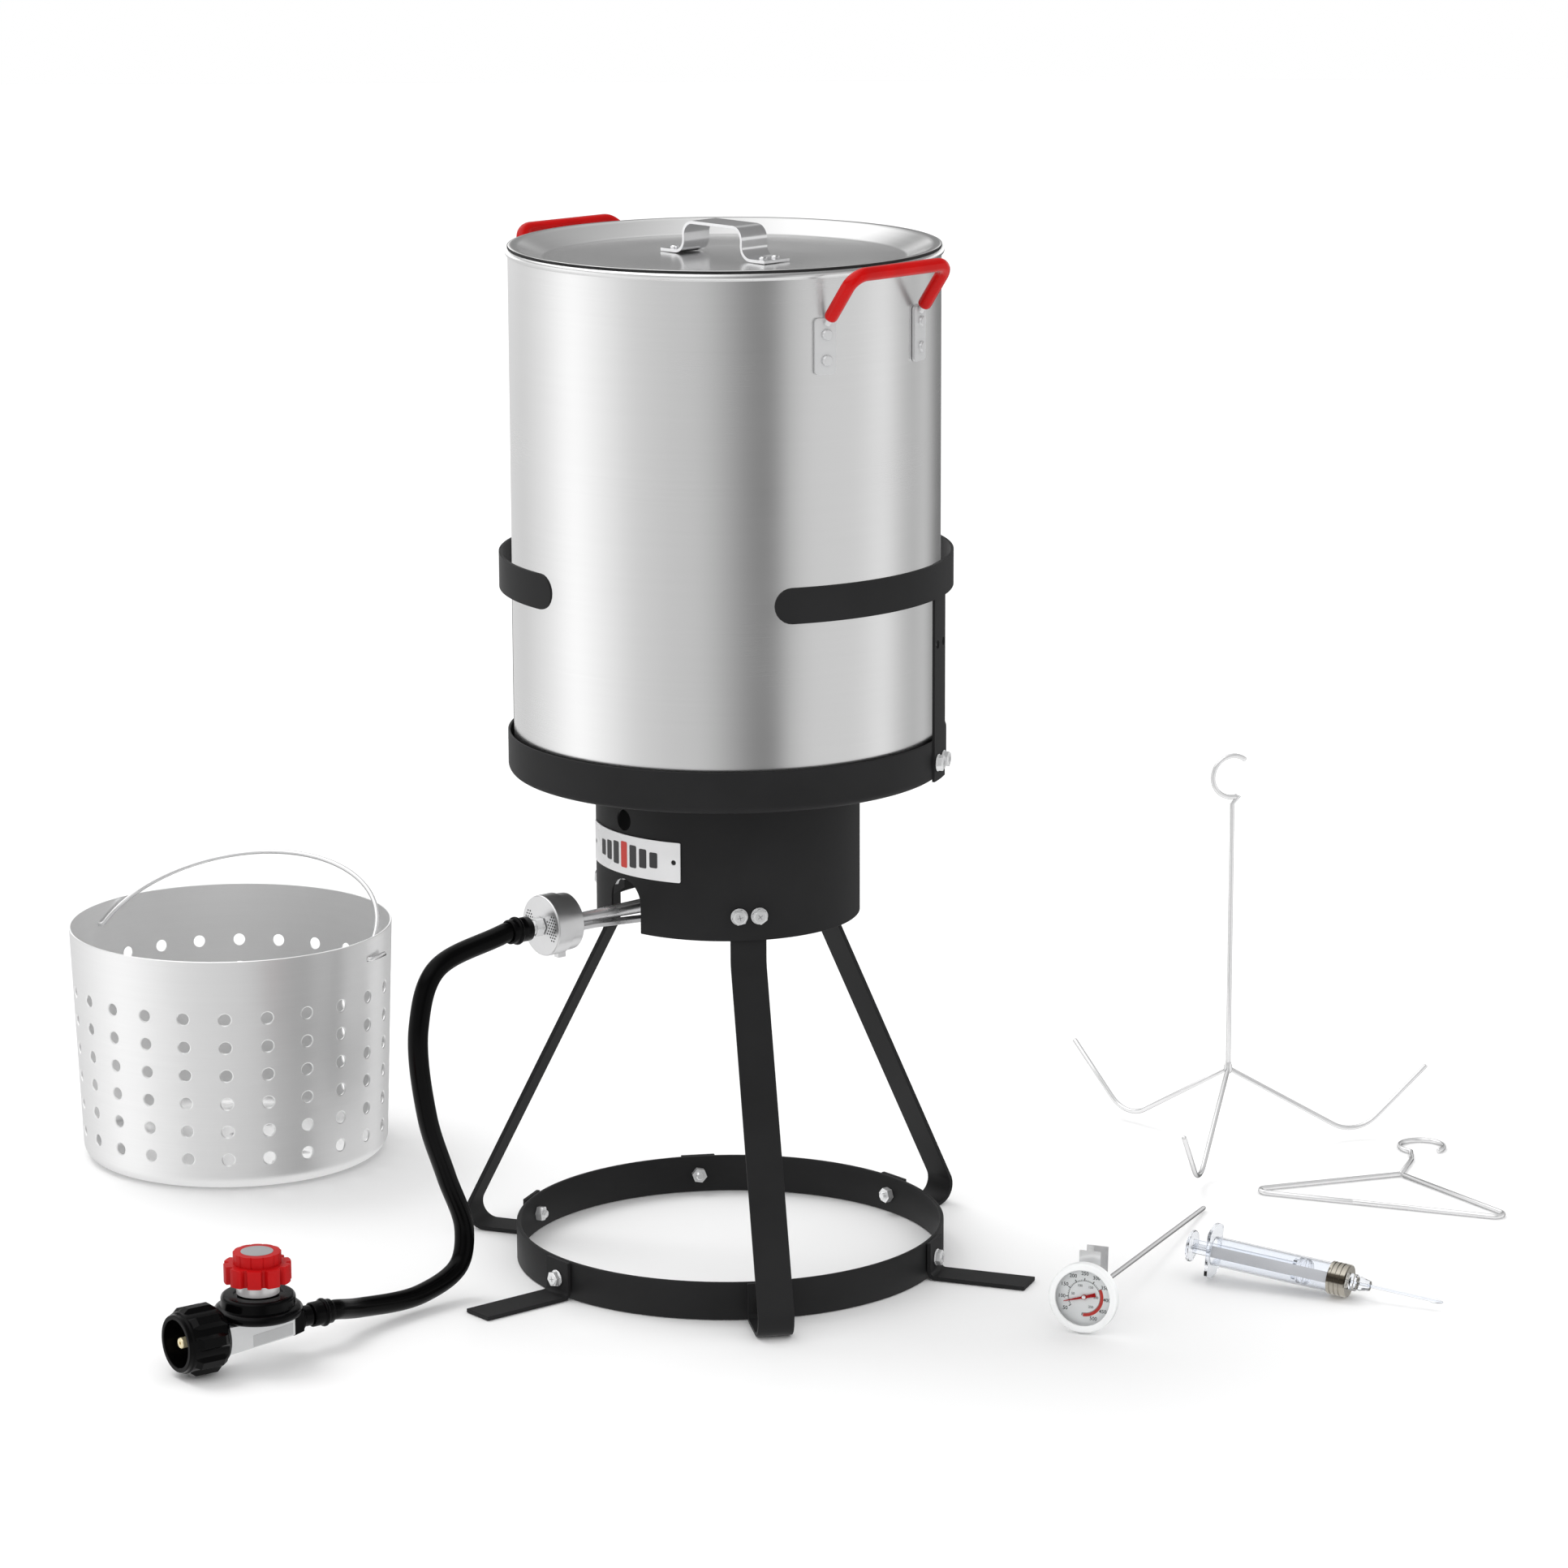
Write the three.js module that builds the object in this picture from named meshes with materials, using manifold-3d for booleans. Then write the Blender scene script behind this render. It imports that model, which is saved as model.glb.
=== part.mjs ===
// Outdoor turkey fryer kit: a burner stand carrying a stock pot with its lid, joined by hose to a
// gas regulator, with a perforated basket, a poultry rack, a lifting hook, a dial thermometer and
// a marinade injector standing or lying round it.
// Millimetres, +Z up. Everything is laid out round the stand's axis on the floor, and the finished
// kit is then moved so that the origin is the middle of its footprint. Azimuths are in degrees,
// 0 towards the front (-Y) and positive towards the right (+X).
import * as THREE from "three";
import { mergeVertices } from "three/addons/utils/BufferGeometryUtils.js";
import Module from "manifold-3d";

const wasm = await Module();
wasm.setup();

// ---------------------------------------------------------------- driving dimensions
const GAP = 0.3; // clearance between touching pieces
const ROUND = 48; // sides of the large round pieces

const FRONT = -50.5; // azimuth of the gas inlet: the stand repeats every 120 degrees from here
const LEG_AZIMUTHS = { front: FRONT + 60, back: FRONT + 180, left: FRONT - 60 };
const FOOT_AZIMUTHS = { front: FRONT, right: FRONT + 120, back: FRONT + 240 };

const SHROUD_R = 96.5;
const SHROUD_BOTTOM = 264;
const SHEET = 1.6; // thickness of the burner shroud
const BAND_R = 159.5; // the wide top of the shroud that takes the pot
const BAND_TOP = 402;
const LEDGE_BOTTOM = 371.5;

const STRAP_WIDTH = 26;
const LEG_STRAP = 3; // thickness of legs, feet and base ring
const LEG_TOP = 301;
const LEG_KNEE_Z = 246; // where a leg leaves the shroud's wall and runs out to the floor
const LEG_BEND_R = 216; // where a leg meets the floor and turns back in
const RING_R = 158.7;
const RING_HEIGHT = 28;
const FOOT_TIP_R = 234;

const GUARD_FRONT = -18; // azimuth of the middle of the hoop's opening
const GUARD_STRAP = 2;
const GUARD_BOTTOM = 372.7;
const HOOP_BOTTOM = 507.5;
const HOOP_TOP = 533;
const HOOP_HALF_OPENING = 30.4; // degrees

const BOLT_R = 3; // M6
const BOLT_ACROSS_FLATS = 10;
const BOLT_HEAD = 4;
const LEG_BOLT_Z = 282.3;
const LEG_BOLT_SPREAD = 7.3; // half the distance between a pair
const GUARD_BOLT_Z = 386;
const GUARD_HOLE_Z = 472.5;
const GUARD_BOLT_SPREAD = 7;

const POT_R = 155;
const POT_BOTTOM = LEDGE_BOTTOM + SHEET + GAP;
const POT_BEAD_Z = 749.8;
const POT_BEAD_R = 2.6;
const POT_WALL = 1.8;
const HANDLE_AZIMUTH = 44; // right pot handle and the line of the lid handle
const LEFT_HANDLE_AZIMUTH = 221.3;

const LID_RIM_TOP = 754.2;
const LID_PANEL_TOP = 744.4;
const LID_PANEL_R = 130; // from here the sheet slopes up to the rim
const LID_SHEET = 1.5;

const AXIS_Z = 279.5; // height of the venturi axis
const SHUTTER_FACE = 172; // distance from the stand axis to the shutter's face
const SHUTTER_R = 22;
const HOSE_R = 7.2;

const WIRE_R = 1.8;
const BASKET = { x: -395, y: 279, topR: 126.5, bottomR: 119.8, height: 184.4, wall: 1.4 };
const RACK = { x: 391, y: 264, turn: 13.8 };
const REGULATOR = { x: -328, y: -242.4, turn: 35.6 };
const REGULATOR_AXIS_Z = 25;

// ---------------------------------------------------------------- materials
const metal = (color, roughness) => new THREE.MeshStandardMaterial({ color, roughness, metalness: 1 });
const plain = (color, roughness) => new THREE.MeshStandardMaterial({ color, roughness, metalness: 0 });
const materials = {
  blackPaint: () => plain(0x252525, 0.45),
  castIron: () => plain(0x2b2b2c, 0.8),
  aluminium: () => metal(0xc9cacc, 0.32),
  zincSteel: () => metal(0xd0d0d0, 0.3),
  wire: () => metal(0xd8d8d8, 0.15),
  brass: () => metal(0xc9b37a, 0.3),
  rubber: () => plain(0x0c0c0c, 0.5),
  blackPlastic: () => plain(0x161616, 0.4),
  redPlastic: () => plain(0xc8202a, 0.45),
  redVinyl: () => plain(0xb3141c, 0.35),
  white: () => plain(0xe6e6e6, 0.5),
  glass: () => plain(0xe8eef2, 0.05),
};

// ---------------------------------------------------------------- geometry helpers
const radians = THREE.MathUtils.degToRad;

// Welds a geometry into one closed mesh with its faces pointing out.
function closed(source) {
  const bare = source.index ? source.toNonIndexed() : source.clone();
  bare.deleteAttribute("normal");
  bare.deleteAttribute("uv");
  const merged = mergeVertices(bare, 1e-4);
  const position = merged.getAttribute("position");
  const index = merged.index.array;
  const kept = [];
  let volume = 0;
  const corner = [new THREE.Vector3(), new THREE.Vector3(), new THREE.Vector3()];
  for (let i = 0; i < index.length; i += 3) {
    const [a, b, c] = [index[i], index[i + 1], index[i + 2]];
    if (a === b || b === c || c === a) continue;
    kept.push(a, b, c);
    [a, b, c].forEach((vertex, k) => corner[k].fromBufferAttribute(position, vertex));
    volume += corner[0].dot(corner[1].cross(corner[2]));
  }
  if (volume < 0) kept.reverse();
  merged.setIndex(kept);
  return merged;
}

function solidOf(geometry) {
  const mesh = closed(geometry);
  const vertProperties = new Float32Array(mesh.getAttribute("position").array);
  const triVerts = new Uint32Array(mesh.index.array);
  return new wasm.Manifold(new wasm.Mesh({ numProp: 3, vertProperties, triVerts }));
}

function geometryOf(solid) {
  const mesh = solid.getMesh();
  const geometry = new THREE.BufferGeometry();
  geometry.setAttribute("position", new THREE.BufferAttribute(mesh.vertProperties, 3));
  geometry.setIndex(new THREE.BufferAttribute(mesh.triVerts, 1));
  return geometry;
}

const join = (...parts) => geometryOf(parts.map(solidOf).reduce((sum, next) => sum.add(next)));

function cut(body, cutters) {
  const tool = cutters.map(solidOf).reduce((sum, next) => sum.add(next));
  return geometryOf(solidOf(body).subtract(tool));
}

// A turned solid about +Z from its closed outline of [radius, z] points.
function turned(outline, sides = ROUND) {
  const points = outline.map(([r, z]) => new THREE.Vector2(Math.max(r, 0), z));
  const closes = outline[0][0] === 0 && outline.at(-1)[0] === 0;
  if (!closes) points.push(points[0].clone());
  return new THREE.LatheGeometry(points, sides).rotateX(Math.PI / 2);
}

// Points of an arc from one angle to another, in degrees, as [x, y] pairs.
function arc(x, y, radius, from, to, steps) {
  return Array.from({ length: steps + 1 }, (_, i) => {
    const angle = radians(from + ((to - from) * i) / steps);
    return [x + radius * Math.cos(angle), y + radius * Math.sin(angle)];
  });
}

const flat = (points) => points.map(([x, y]) => new THREE.Vector2(x, y));
const ngon = (radius, sides) => arc(0, 0, radius, 0, 360 - 360 / sides, sides - 1);
const shapeOf = (points) => new THREE.Shape(flat(points));
const prism = (points, depth) => new THREE.ExtrudeGeometry(shapeOf(points), { depth, bevelEnabled: false });
const rod = (radius, from, to, sides = 12) => prism(ngon(radius, sides), to - from).translate(0, 0, from);
const hexagon = (acrossFlats, from, to) => rod(acrossFlats / Math.sqrt(3), from, to, 6);
const box = (x0, x1, y0, y1, z0, z1) => new THREE.BoxGeometry(x1 - x0, y1 - y0, z1 - z0)
  .translate((x0 + x1) / 2, (y0 + y1) / 2, (z0 + z1) / 2);

// A line through corners whose bends are rounded, as a list of points of the same dimension.
function rounded(corners, radius, steps = 4) {
  const points = [corners[0]];
  for (let i = 1; i < corners.length - 1; i++) {
    const [before, at, after] = [corners[i - 1], corners[i], corners[i + 1]];
    const reach = Math.min(radius, before.distanceTo(at) / 2.1, after.distanceTo(at) / 2.1);
    const start = at.clone().lerp(before, reach / at.distanceTo(before));
    const end = at.clone().lerp(after, reach / at.distanceTo(after));
    for (let k = 0; k <= steps; k++) {
      const t = k / steps;
      points.push(start.clone().lerp(at, t).lerp(at.clone().lerp(end, t), t));
    }
  }
  points.push(corners.at(-1));
  return points;
}

// A path whose samples are exactly the given points, so a sweep spends none on its straights.
class PointPath extends THREE.Curve {
  constructor(points) {
    super();
    this.points = points;
  }
  getPoint(t) {
    const place = t * (this.points.length - 1);
    const i = Math.min(Math.floor(place), this.points.length - 2);
    return this.points[i].clone().lerp(this.points[i + 1], place - i);
  }
  getPointAt(t) {
    return this.getPoint(t);
  }
  getTangentAt(t) {
    const last = this.points.length - 1;
    const i = Math.round(t * last);
    const before = this.points[Math.max(i - 1, 0)];
    const after = this.points[Math.min(i + 1, last)];
    return after.clone().sub(before).normalize();
  }
}

// A round bar, or a tube when it has a bore, swept along points.
function swept(points, radius, sides = 8, bore = 0) {
  const section = shapeOf(ngon(radius, sides));
  if (bore) section.holes.push(shapeOf(ngon(bore, sides)));
  return new THREE.ExtrudeGeometry(section, { steps: points.length - 1, extrudePath: new PointPath(points) });
}

// A flat strap of the given width, bent along a centre line drawn in [outward, up].
function strap(line, thickness, width) {
  const normals = line.map((_, i) => {
    const along = line[Math.min(i + 1, line.length - 1)].clone().sub(line[Math.max(i - 1, 0)]).normalize();
    return new THREE.Vector2(-along.y, along.x).multiplyScalar(thickness / 2);
  });
  const left = line.map((point, i) => point.clone().add(normals[i]));
  const right = line.map((point, i) => point.clone().sub(normals[i]));
  const outline = new THREE.Shape([...left, ...right.reverse()]);
  const bar = new THREE.ExtrudeGeometry(outline, { depth: width, bevelEnabled: false });
  return bar.translate(0, 0, -width / 2);
}

const outward = (azimuth) => new THREE.Vector3(Math.sin(radians(azimuth)), -Math.cos(radians(azimuth)), 0);
const around = (azimuth, r, z) => outward(azimuth).multiplyScalar(r).setZ(z);

// A frame at the stand axis: z points outward at the azimuth, y is up.
function facing(azimuth, z = 0) {
  const out = outward(azimuth);
  const up = new THREE.Vector3(0, 0, 1);
  return new THREE.Matrix4().makeBasis(up.clone().cross(out), up, out).setPosition(0, 0, z);
}

// A frame for straps: x points outward, y is up.
function strapFrame(azimuth) {
  const out = outward(azimuth);
  const up = new THREE.Vector3(0, 0, 1);
  return new THREE.Matrix4().makeBasis(out, up, out.clone().cross(up));
}

// A curved plate standing on a cylinder about the stand axis.
function curvedPlate(inner, thickness, azimuth, halfAngle, z0, z1, steps) {
  const from = azimuth - 90 - halfAngle;
  const to = azimuth - 90 + halfAngle;
  const outline = [...arc(0, 0, inner + thickness, from, to, steps), ...arc(0, 0, inner, to, from, steps)];
  return prism(outline, z1 - z0).translate(0, 0, z0);
}

const kit = new THREE.Group();

function add(name, geometry, material, parent = kit) {
  const mesh = new THREE.Mesh(closed(geometry), material());
  mesh.name = name;
  parent.add(mesh);
  return mesh;
}

function groupAt(matrix, parent = kit) {
  const group = new THREE.Group();
  matrix.decompose(group.position, group.quaternion, group.scale);
  parent.add(group);
  return group;
}

// ---------------------------------------------------------------- fasteners
// All are drawn along the outward direction, with the hex head outside.
const shank = (tip, headFace) => rod(BOLT_R, tip, headFace + 1, 6);
const head = (headFace) => hexagon(BOLT_ACROSS_FLATS, headFace, headFace + BOLT_HEAD);
const boltHole = (from, to) => rod(BOLT_R + GAP, from, to, 6);

// One bolt with its hex nut.
function boltWithNut(headFace, tip, nutFace) {
  return join(head(headFace), shank(tip, headFace), hexagon(BOLT_ACROSS_FLATS, nutFace - 5, nutFace));
}

// Two bolts side by side that share one threaded plate behind the joint.
function boltPair(headFace, tip, plateFace, plateThickness, spread) {
  const bolts = [-spread, spread].flatMap((x) => [head(headFace), shank(tip, headFace)]
    .map((part) => part.translate(x, 0, 0)));
  const reach = spread + 4.5;
  return join(...bolts, box(-reach, reach, -5.5, 5.5, plateFace - plateThickness, plateFace));
}

// Hole positions as [azimuth, sideways offset, height].
const pairPlaces = (azimuths, spread, z) =>
  azimuths.flatMap((azimuth) => [-spread, spread].map((x) => [azimuth, x, z]));
const guardAzimuths = { left: GUARD_FRONT - 90, right: GUARD_FRONT + 90 };
const legBoltPlaces = pairPlaces(Object.values(LEG_AZIMUTHS), LEG_BOLT_SPREAD, LEG_BOLT_Z);
const guardPlaces = (z) => pairPlaces(Object.values(guardAzimuths), GUARD_BOLT_SPREAD, z);
const baseBoltPlaces = [...Object.values(LEG_AZIMUTHS), ...Object.values(FOOT_AZIMUTHS)]
  .map((azimuth) => [azimuth, 0, RING_HEIGHT / 2]);

const holesAt = (places, from, to) => places.map(([azimuth, x, z]) =>
  boltHole(from, to).translate(x, 0, 0).applyMatrix4(facing(azimuth, z)),
);

// ---------------------------------------------------------------- burner stand
function buildShroud() {
  const fillet = 8;
  const edge = 6;
  const outline = [
    [BAND_R, BAND_TOP],
    ...arc(BAND_R - edge, LEDGE_BOTTOM + edge, edge, 0, -90, 2),
    ...arc(SHROUD_R + fillet, LEDGE_BOTTOM - fillet, fillet, 90, 180, 2),
    [SHROUD_R, SHROUD_BOTTOM],
    [SHROUD_R - SHEET, SHROUD_BOTTOM],
    ...arc(SHROUD_R + fillet, LEDGE_BOTTOM - fillet, fillet + SHEET, 180, 90, 2),
    ...arc(BAND_R - edge, LEDGE_BOTTOM + edge, edge - SHEET, -90, 0, 1),
    [BAND_R - SHEET, BAND_TOP],
  ];
  const notchHalf = 17;
  const notchTop = 302;
  const notch = [[-notchHalf, SHROUD_BOTTOM - 5], [notchHalf, SHROUD_BOTTOM - 5],
    ...arc(0, notchTop - notchHalf, notchHalf, 0, 180, 6)];
  const sightHole = arc(0, 345.5, 7.75, 0, 315, 7);
  const inlets = [notch, sightHole].map((shape) =>
    prism(shape, 40).translate(0, 0, SHROUD_R - 25).applyMatrix4(facing(FRONT)),
  );
  const holes = [
    ...holesAt(legBoltPlaces, SHROUD_R - 12, SHROUD_R + 8),
    ...holesAt(guardPlaces(GUARD_BOLT_Z), BAND_R - 12, BAND_R + 8),
  ];
  add("burner_shroud", cut(turned(outline), [...inlets, ...holes]), materials.blackPaint);
}

function buildNamePlate() {
  const halfAngle = 30.5;
  const [bottom, top] = [306, 335.3];
  const plate = curvedPlate(SHROUD_R + GAP, 0.8, FRONT, halfAngle, bottom, top, 10);
  const screwHoles = [3 - halfAngle, halfAngle - 3].map((side) =>
    rod(1.6, SHROUD_R - 4, SHROUD_R + 6, 6).applyMatrix4(facing(FRONT + side, (bottom + top) / 2)),
  );
  add("name_plate", cut(plate, screwHoles), materials.zincSteel);
}

// The strap that carries the pot: down inside the shroud, out to the floor, back in, up the ring.
function buildLeg(name, azimuth) {
  const shroudFace = Math.sqrt((SHROUD_R - SHEET - GAP) ** 2 - (STRAP_WIDTH / 2) ** 2);
  const top = shroudFace - LEG_STRAP / 2 - GAP;
  const floor = LEG_STRAP / 2;
  const tab = RING_R + GAP + LEG_STRAP / 2;
  const outerLine = flat([[top, LEG_TOP], [top, LEG_KNEE_Z], [LEG_BEND_R, floor], [tab + 10, floor]]);
  const descent = rounded(outerLine, 22, 4);
  const tabBend = rounded(flat([[tab + 10, floor], [tab, floor], [tab, RING_HEIGHT]]), 6, 2).slice(1);
  const bar = strap([...descent, ...tabBend], LEG_STRAP, STRAP_WIDTH).applyMatrix4(strapFrame(azimuth));
  const holes = [
    ...holesAt(legBoltPlaces.filter(([at]) => at === azimuth), top - 12, top + 8),
    ...holesAt(baseBoltPlaces.filter(([at]) => at === azimuth), tab - 8, tab + 8),
  ];
  add(name, cut(bar, holes), materials.blackPaint);
}

function buildFoot(name, azimuth) {
  const tab = RING_R + GAP + LEG_STRAP / 2;
  const floor = LEG_STRAP / 2;
  const corners = [[tab, RING_HEIGHT], [tab, floor], [FOOT_TIP_R, floor]];
  const bar = strap(rounded(flat(corners), 5, 2), LEG_STRAP, STRAP_WIDTH).applyMatrix4(strapFrame(azimuth));
  const holes = holesAt(baseBoltPlaces.filter(([at]) => at === azimuth), tab - 8, tab + 8);
  add(name, cut(bar, holes), materials.blackPaint);
}

function buildBaseRing() {
  const inner = RING_R - LEG_STRAP;
  const ring = turned([[RING_R, 0], [RING_R, RING_HEIGHT], [inner, RING_HEIGHT], [inner, 0]]);
  add("base_ring", cut(ring, holesAt(baseBoltPlaces, inner - 8, RING_R + 8)), materials.blackPaint);
}

function buildGuard() {
  const inner = BAND_R + GAP;
  const halfAngle = THREE.MathUtils.radToDeg(STRAP_WIDTH / 2 / inner);
  for (const [side, azimuth] of Object.entries(guardAzimuths)) {
    const upright = curvedPlate(inner, GUARD_STRAP, azimuth, halfAngle, GUARD_BOTTOM, HOOP_TOP - 1, 2);
    const places = [GUARD_BOLT_Z, GUARD_HOLE_Z].flatMap((z) => pairPlaces([azimuth], GUARD_BOLT_SPREAD, z));
    add(`guard_upright_${side}`, cut(upright, holesAt(places, inner - 8, inner + 8)), materials.blackPaint);
  }
  const hoopInner = inner + GUARD_STRAP + 2 * GAP;
  const halfHoop = 180 - HOOP_HALF_OPENING;
  const hoop = curvedPlate(hoopInner, GUARD_STRAP, GUARD_FRONT + 180, halfHoop, HOOP_BOTTOM, HOOP_TOP, 40);
  add("guard_hoop", cut(hoop, [roundEnd(-1, hoopInner), roundEnd(1, hoopInner)]), materials.blackPaint);
}

// What is cut away at one end of the hoop, so that the strap ends in a half circle.
function roundEnd(side, hoopInner) {
  const radius = (HOOP_TOP - HOOP_BOTTOM) / 2;
  const halfCircle = arc(radius, 0, radius, 270, 90, 8);
  const outline = [[-2, -radius - 1], [radius, -radius - 1], ...halfCircle,
    [radius, radius + 1], [-2, radius + 1]];
  const end = facing(GUARD_FRONT + side * HOOP_HALF_OPENING, HOOP_BOTTOM + radius);
  return prism(outline.map(([x, y]) => [side * x, y]), 12).translate(0, 0, hoopInner - 5).applyMatrix4(end);
}

function buildFasteners() {
  const strapFace = Math.sqrt((SHROUD_R - SHEET - GAP) ** 2 - (STRAP_WIDTH / 2) ** 2) - GAP - LEG_STRAP;
  const spiderFace = strapFace - GAP - LEG_STRAP;
  for (const [name, azimuth] of Object.entries(LEG_AZIMUTHS)) {
    const pair = boltPair(SHROUD_R + GAP, spiderFace - 7, spiderFace - GAP, 4, LEG_BOLT_SPREAD);
    add(`leg_bolts_${name}`, pair, materials.zincSteel, groupAt(facing(azimuth, LEG_BOLT_Z)));
  }
  for (const [name, azimuth] of Object.entries(guardAzimuths)) {
    const pair = boltPair(BAND_R + GUARD_STRAP + 3 * GAP, BAND_R - 3.3, BAND_R - 2.4, 1.1, GUARD_BOLT_SPREAD);
    add(`guard_bolts_${name}`, pair, materials.zincSteel, groupAt(facing(azimuth, GUARD_BOLT_Z)));
  }
  const inner = RING_R - LEG_STRAP;
  baseBoltPlaces.forEach(([azimuth, , z], i) => {
    const geometry = boltWithNut(RING_R + LEG_STRAP + 2 * GAP, inner - 7.5, inner - 2 * GAP);
    add(`base_bolt_${i + 1}`, geometry, materials.zincSteel, groupAt(facing(azimuth, z)));
  });
}

// ---------------------------------------------------------------- burner and gas inlet
const COLUMN_R = 13;
const SPIDER_Z = 296;

// A three-armed strap star whose ends hang down behind the leg straps, under the leg bolts.
function buildSpider() {
  const reach = Math.sqrt((SHROUD_R - SHEET - GAP) ** 2 - (STRAP_WIDTH / 2) ** 2) - 2 * GAP - 1.5 * LEG_STRAP;
  const arms = Object.values(LEG_AZIMUTHS).map((azimuth) => {
    const corners = [[0, SPIDER_Z], [reach, SPIDER_Z], [reach, 270]].map(([x, y]) => new THREE.Vector2(x, y));
    return strap(rounded(corners, 5, 2), LEG_STRAP, STRAP_WIDTH - 2).applyMatrix4(strapFrame(azimuth));
  });
  const holes = [
    ...holesAt(legBoltPlaces, reach - 8, reach + 8),
    rod(COLUMN_R + GAP, SPIDER_Z - 8, SPIDER_Z + 8, 16),
  ];
  add("burner_spider", cut(join(...arms), holes), materials.castIron);
}

// A hollow casting: the column takes the venturi from the side, the head carries the flame ports.
function buildBurnerHead() {
  const outline = [[0, 268.5], [COLUMN_R, 268.5], [COLUMN_R, 298], [18, 298], [22, 303], [42, 319], [42, 330],
    [38, 333], [0, 336]];
  const hollow = [[0, 272], [9, 272], [9, 303], [38, 321], [38, 328], [0, 332]];
  const inlet = rod(6, 2, 30, 12).applyMatrix4(facing(FRONT, AXIS_Z));
  const ports = Array.from({ length: 12 }, (_, i) =>
    box(-2.2, 2.2, -2, 2, 34, 50).applyMatrix4(facing(7.5 + i * 30, 325)),
  );
  add("burner_head", cut(turned(outline, 24), [turned(hollow, 24), inlet, ...ports]), materials.castIron);
}

// Tapered mixing tube with the rail that stiffens it underneath, welded on at the intake end.
function buildVenturi() {
  const end = SHUTTER_FACE - 34;
  const tube = turned([[5.6, 8], [5.6, 60], [3.8, end], [2.6, end], [4.2, 60], [4.2, 8]], 16)
    .applyMatrix4(facing(FRONT, AXIS_Z));
  const railLine = flat([[16, AXIS_Z - 14], [end - 12, AXIS_Z - 6.5], [end - 1, AXIS_Z - 6.5]]);
  const rail = strap(railLine, 3, 10).applyMatrix4(strapFrame(FRONT));
  const web = box(-1.5, 1.5, -6.5, -3.2, end - 12, end - 2).applyMatrix4(facing(FRONT, AXIS_Z));
  add("venturi_tube", join(tube, rail, web), materials.zincSteel);
}

// The air intake: a cup on the tube's end and a perforated cap that turns on it to set the air.
function buildAirIntake() {
  const frame = groupAt(facing(FRONT, AXIS_Z));
  const back = SHUTTER_FACE - 32;
  const mouth = SHUTTER_FACE - 2.2;
  const [cupR, cupBore] = [SHUTTER_R - 1.4, SHUTTER_R - 2.6];
  const cup = turned([[4.2, back], [7, back], [cupR, back + 8], [cupR, mouth], [cupBore, mouth],
    [cupBore, back + 9.2], [7, back + 2], [4.2, back + 2]], 28);
  const lug = box(-2.5, 2.5, -SHUTTER_R - 3.5, -SHUTTER_R + 2.2, SHUTTER_FACE - 20, SHUTTER_FACE - 13.4);
  add("mixer_cup", join(cup, lug), materials.zincSteel, frame);
  const cap = turned([[4.6, SHUTTER_FACE - 1.2], [4.6, SHUTTER_FACE], [SHUTTER_R - 1, SHUTTER_FACE],
    [SHUTTER_R, SHUTTER_FACE - 1], [SHUTTER_R, SHUTTER_FACE - 13], [SHUTTER_R - 1.1, SHUTTER_FACE - 13],
    [SHUTTER_R - 1.1, SHUTTER_FACE - 1.2]], 28);
  const holes = [];
  for (const side of [0, 180]) {
    for (const [radius, count] of [[10, 2], [13.5, 3], [17, 4]]) {
      for (let i = 0; i < count; i++) {
        const angle = radians(side + (i - (count - 1) / 2) * 16);
        holes.push(rod(0.9, SHUTTER_FACE - 3, SHUTTER_FACE + 2, 4)
          .translate(radius * Math.cos(angle), radius * Math.sin(angle), 0));
      }
    }
  }
  add("air_shutter", cut(cap, holes), materials.zincSteel, frame);
  const stub = rod(4.2, SHUTTER_FACE - 12, SHUTTER_FACE + 2, 12);
  const fitting = join(stub, hexagon(12.5, SHUTTER_FACE + 0.6, SHUTTER_FACE + 11));
  add("orifice_fitting", fitting, materials.zincSteel, frame);
}

// The hose leaves the intake along the venturi axis, sags to the floor and turns to the regulator.
function buildHose() {
  const start = around(FRONT, SHUTTER_FACE + 12, AXIS_Z);
  const lead = around(FRONT, SHUTTER_FACE + 32, AXIS_Z);
  const middle = [[-205, -168, 262], [-217, -172, 222], [-214, -148, 150], [-203, -118, 96], [-192, -98, 50],
    [-196, -102, 24], [-222, -133, 12], [-262, -178, 17]].map(([x, y, z]) => new THREE.Vector3(x, y, z));
  const along = new THREE.Vector3(Math.cos(radians(REGULATOR.turn)), Math.sin(radians(REGULATOR.turn)), 0);
  const inlet = new THREE.Vector3(REGULATOR.x, REGULATOR.y, REGULATOR_AXIS_Z);
  const end = inlet.clone().addScaledVector(along, 42);
  const endLead = inlet.clone().addScaledVector(along, 62);
  const path = new THREE.CatmullRomCurve3([lead, ...middle, endLead], false, "centripetal");
  add("gas_hose", swept([start, ...path.getSpacedPoints(30), end], HOSE_R, 10), materials.rubber);
}

// A crimped sleeve with a bead round its middle, drawn along z.
function ferrule(from, to) {
  const bead = from + (to - from) * 0.62;
  const bore = HOSE_R + 2 * GAP;
  return turned([[bore, from], [8.8, from], [8.8, bead - 3], [9.8, bead - 1.5], [9.8, bead + 1.5],
    [8.8, bead + 3], [8.8, to], [bore, to]], 16);
}

// ---------------------------------------------------------------- regulator
function lobedOutline(radius, depth, lobes, perLobe) {
  const count = lobes * perLobe;
  return Array.from({ length: count }, (_, i) => {
    const angle = (i / count) * 2 * Math.PI;
    const r = radius - depth * (0.5 + 0.5 * Math.cos(angle * lobes)) ** 2;
    return [r * Math.cos(angle), r * Math.sin(angle)];
  });
}

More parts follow.
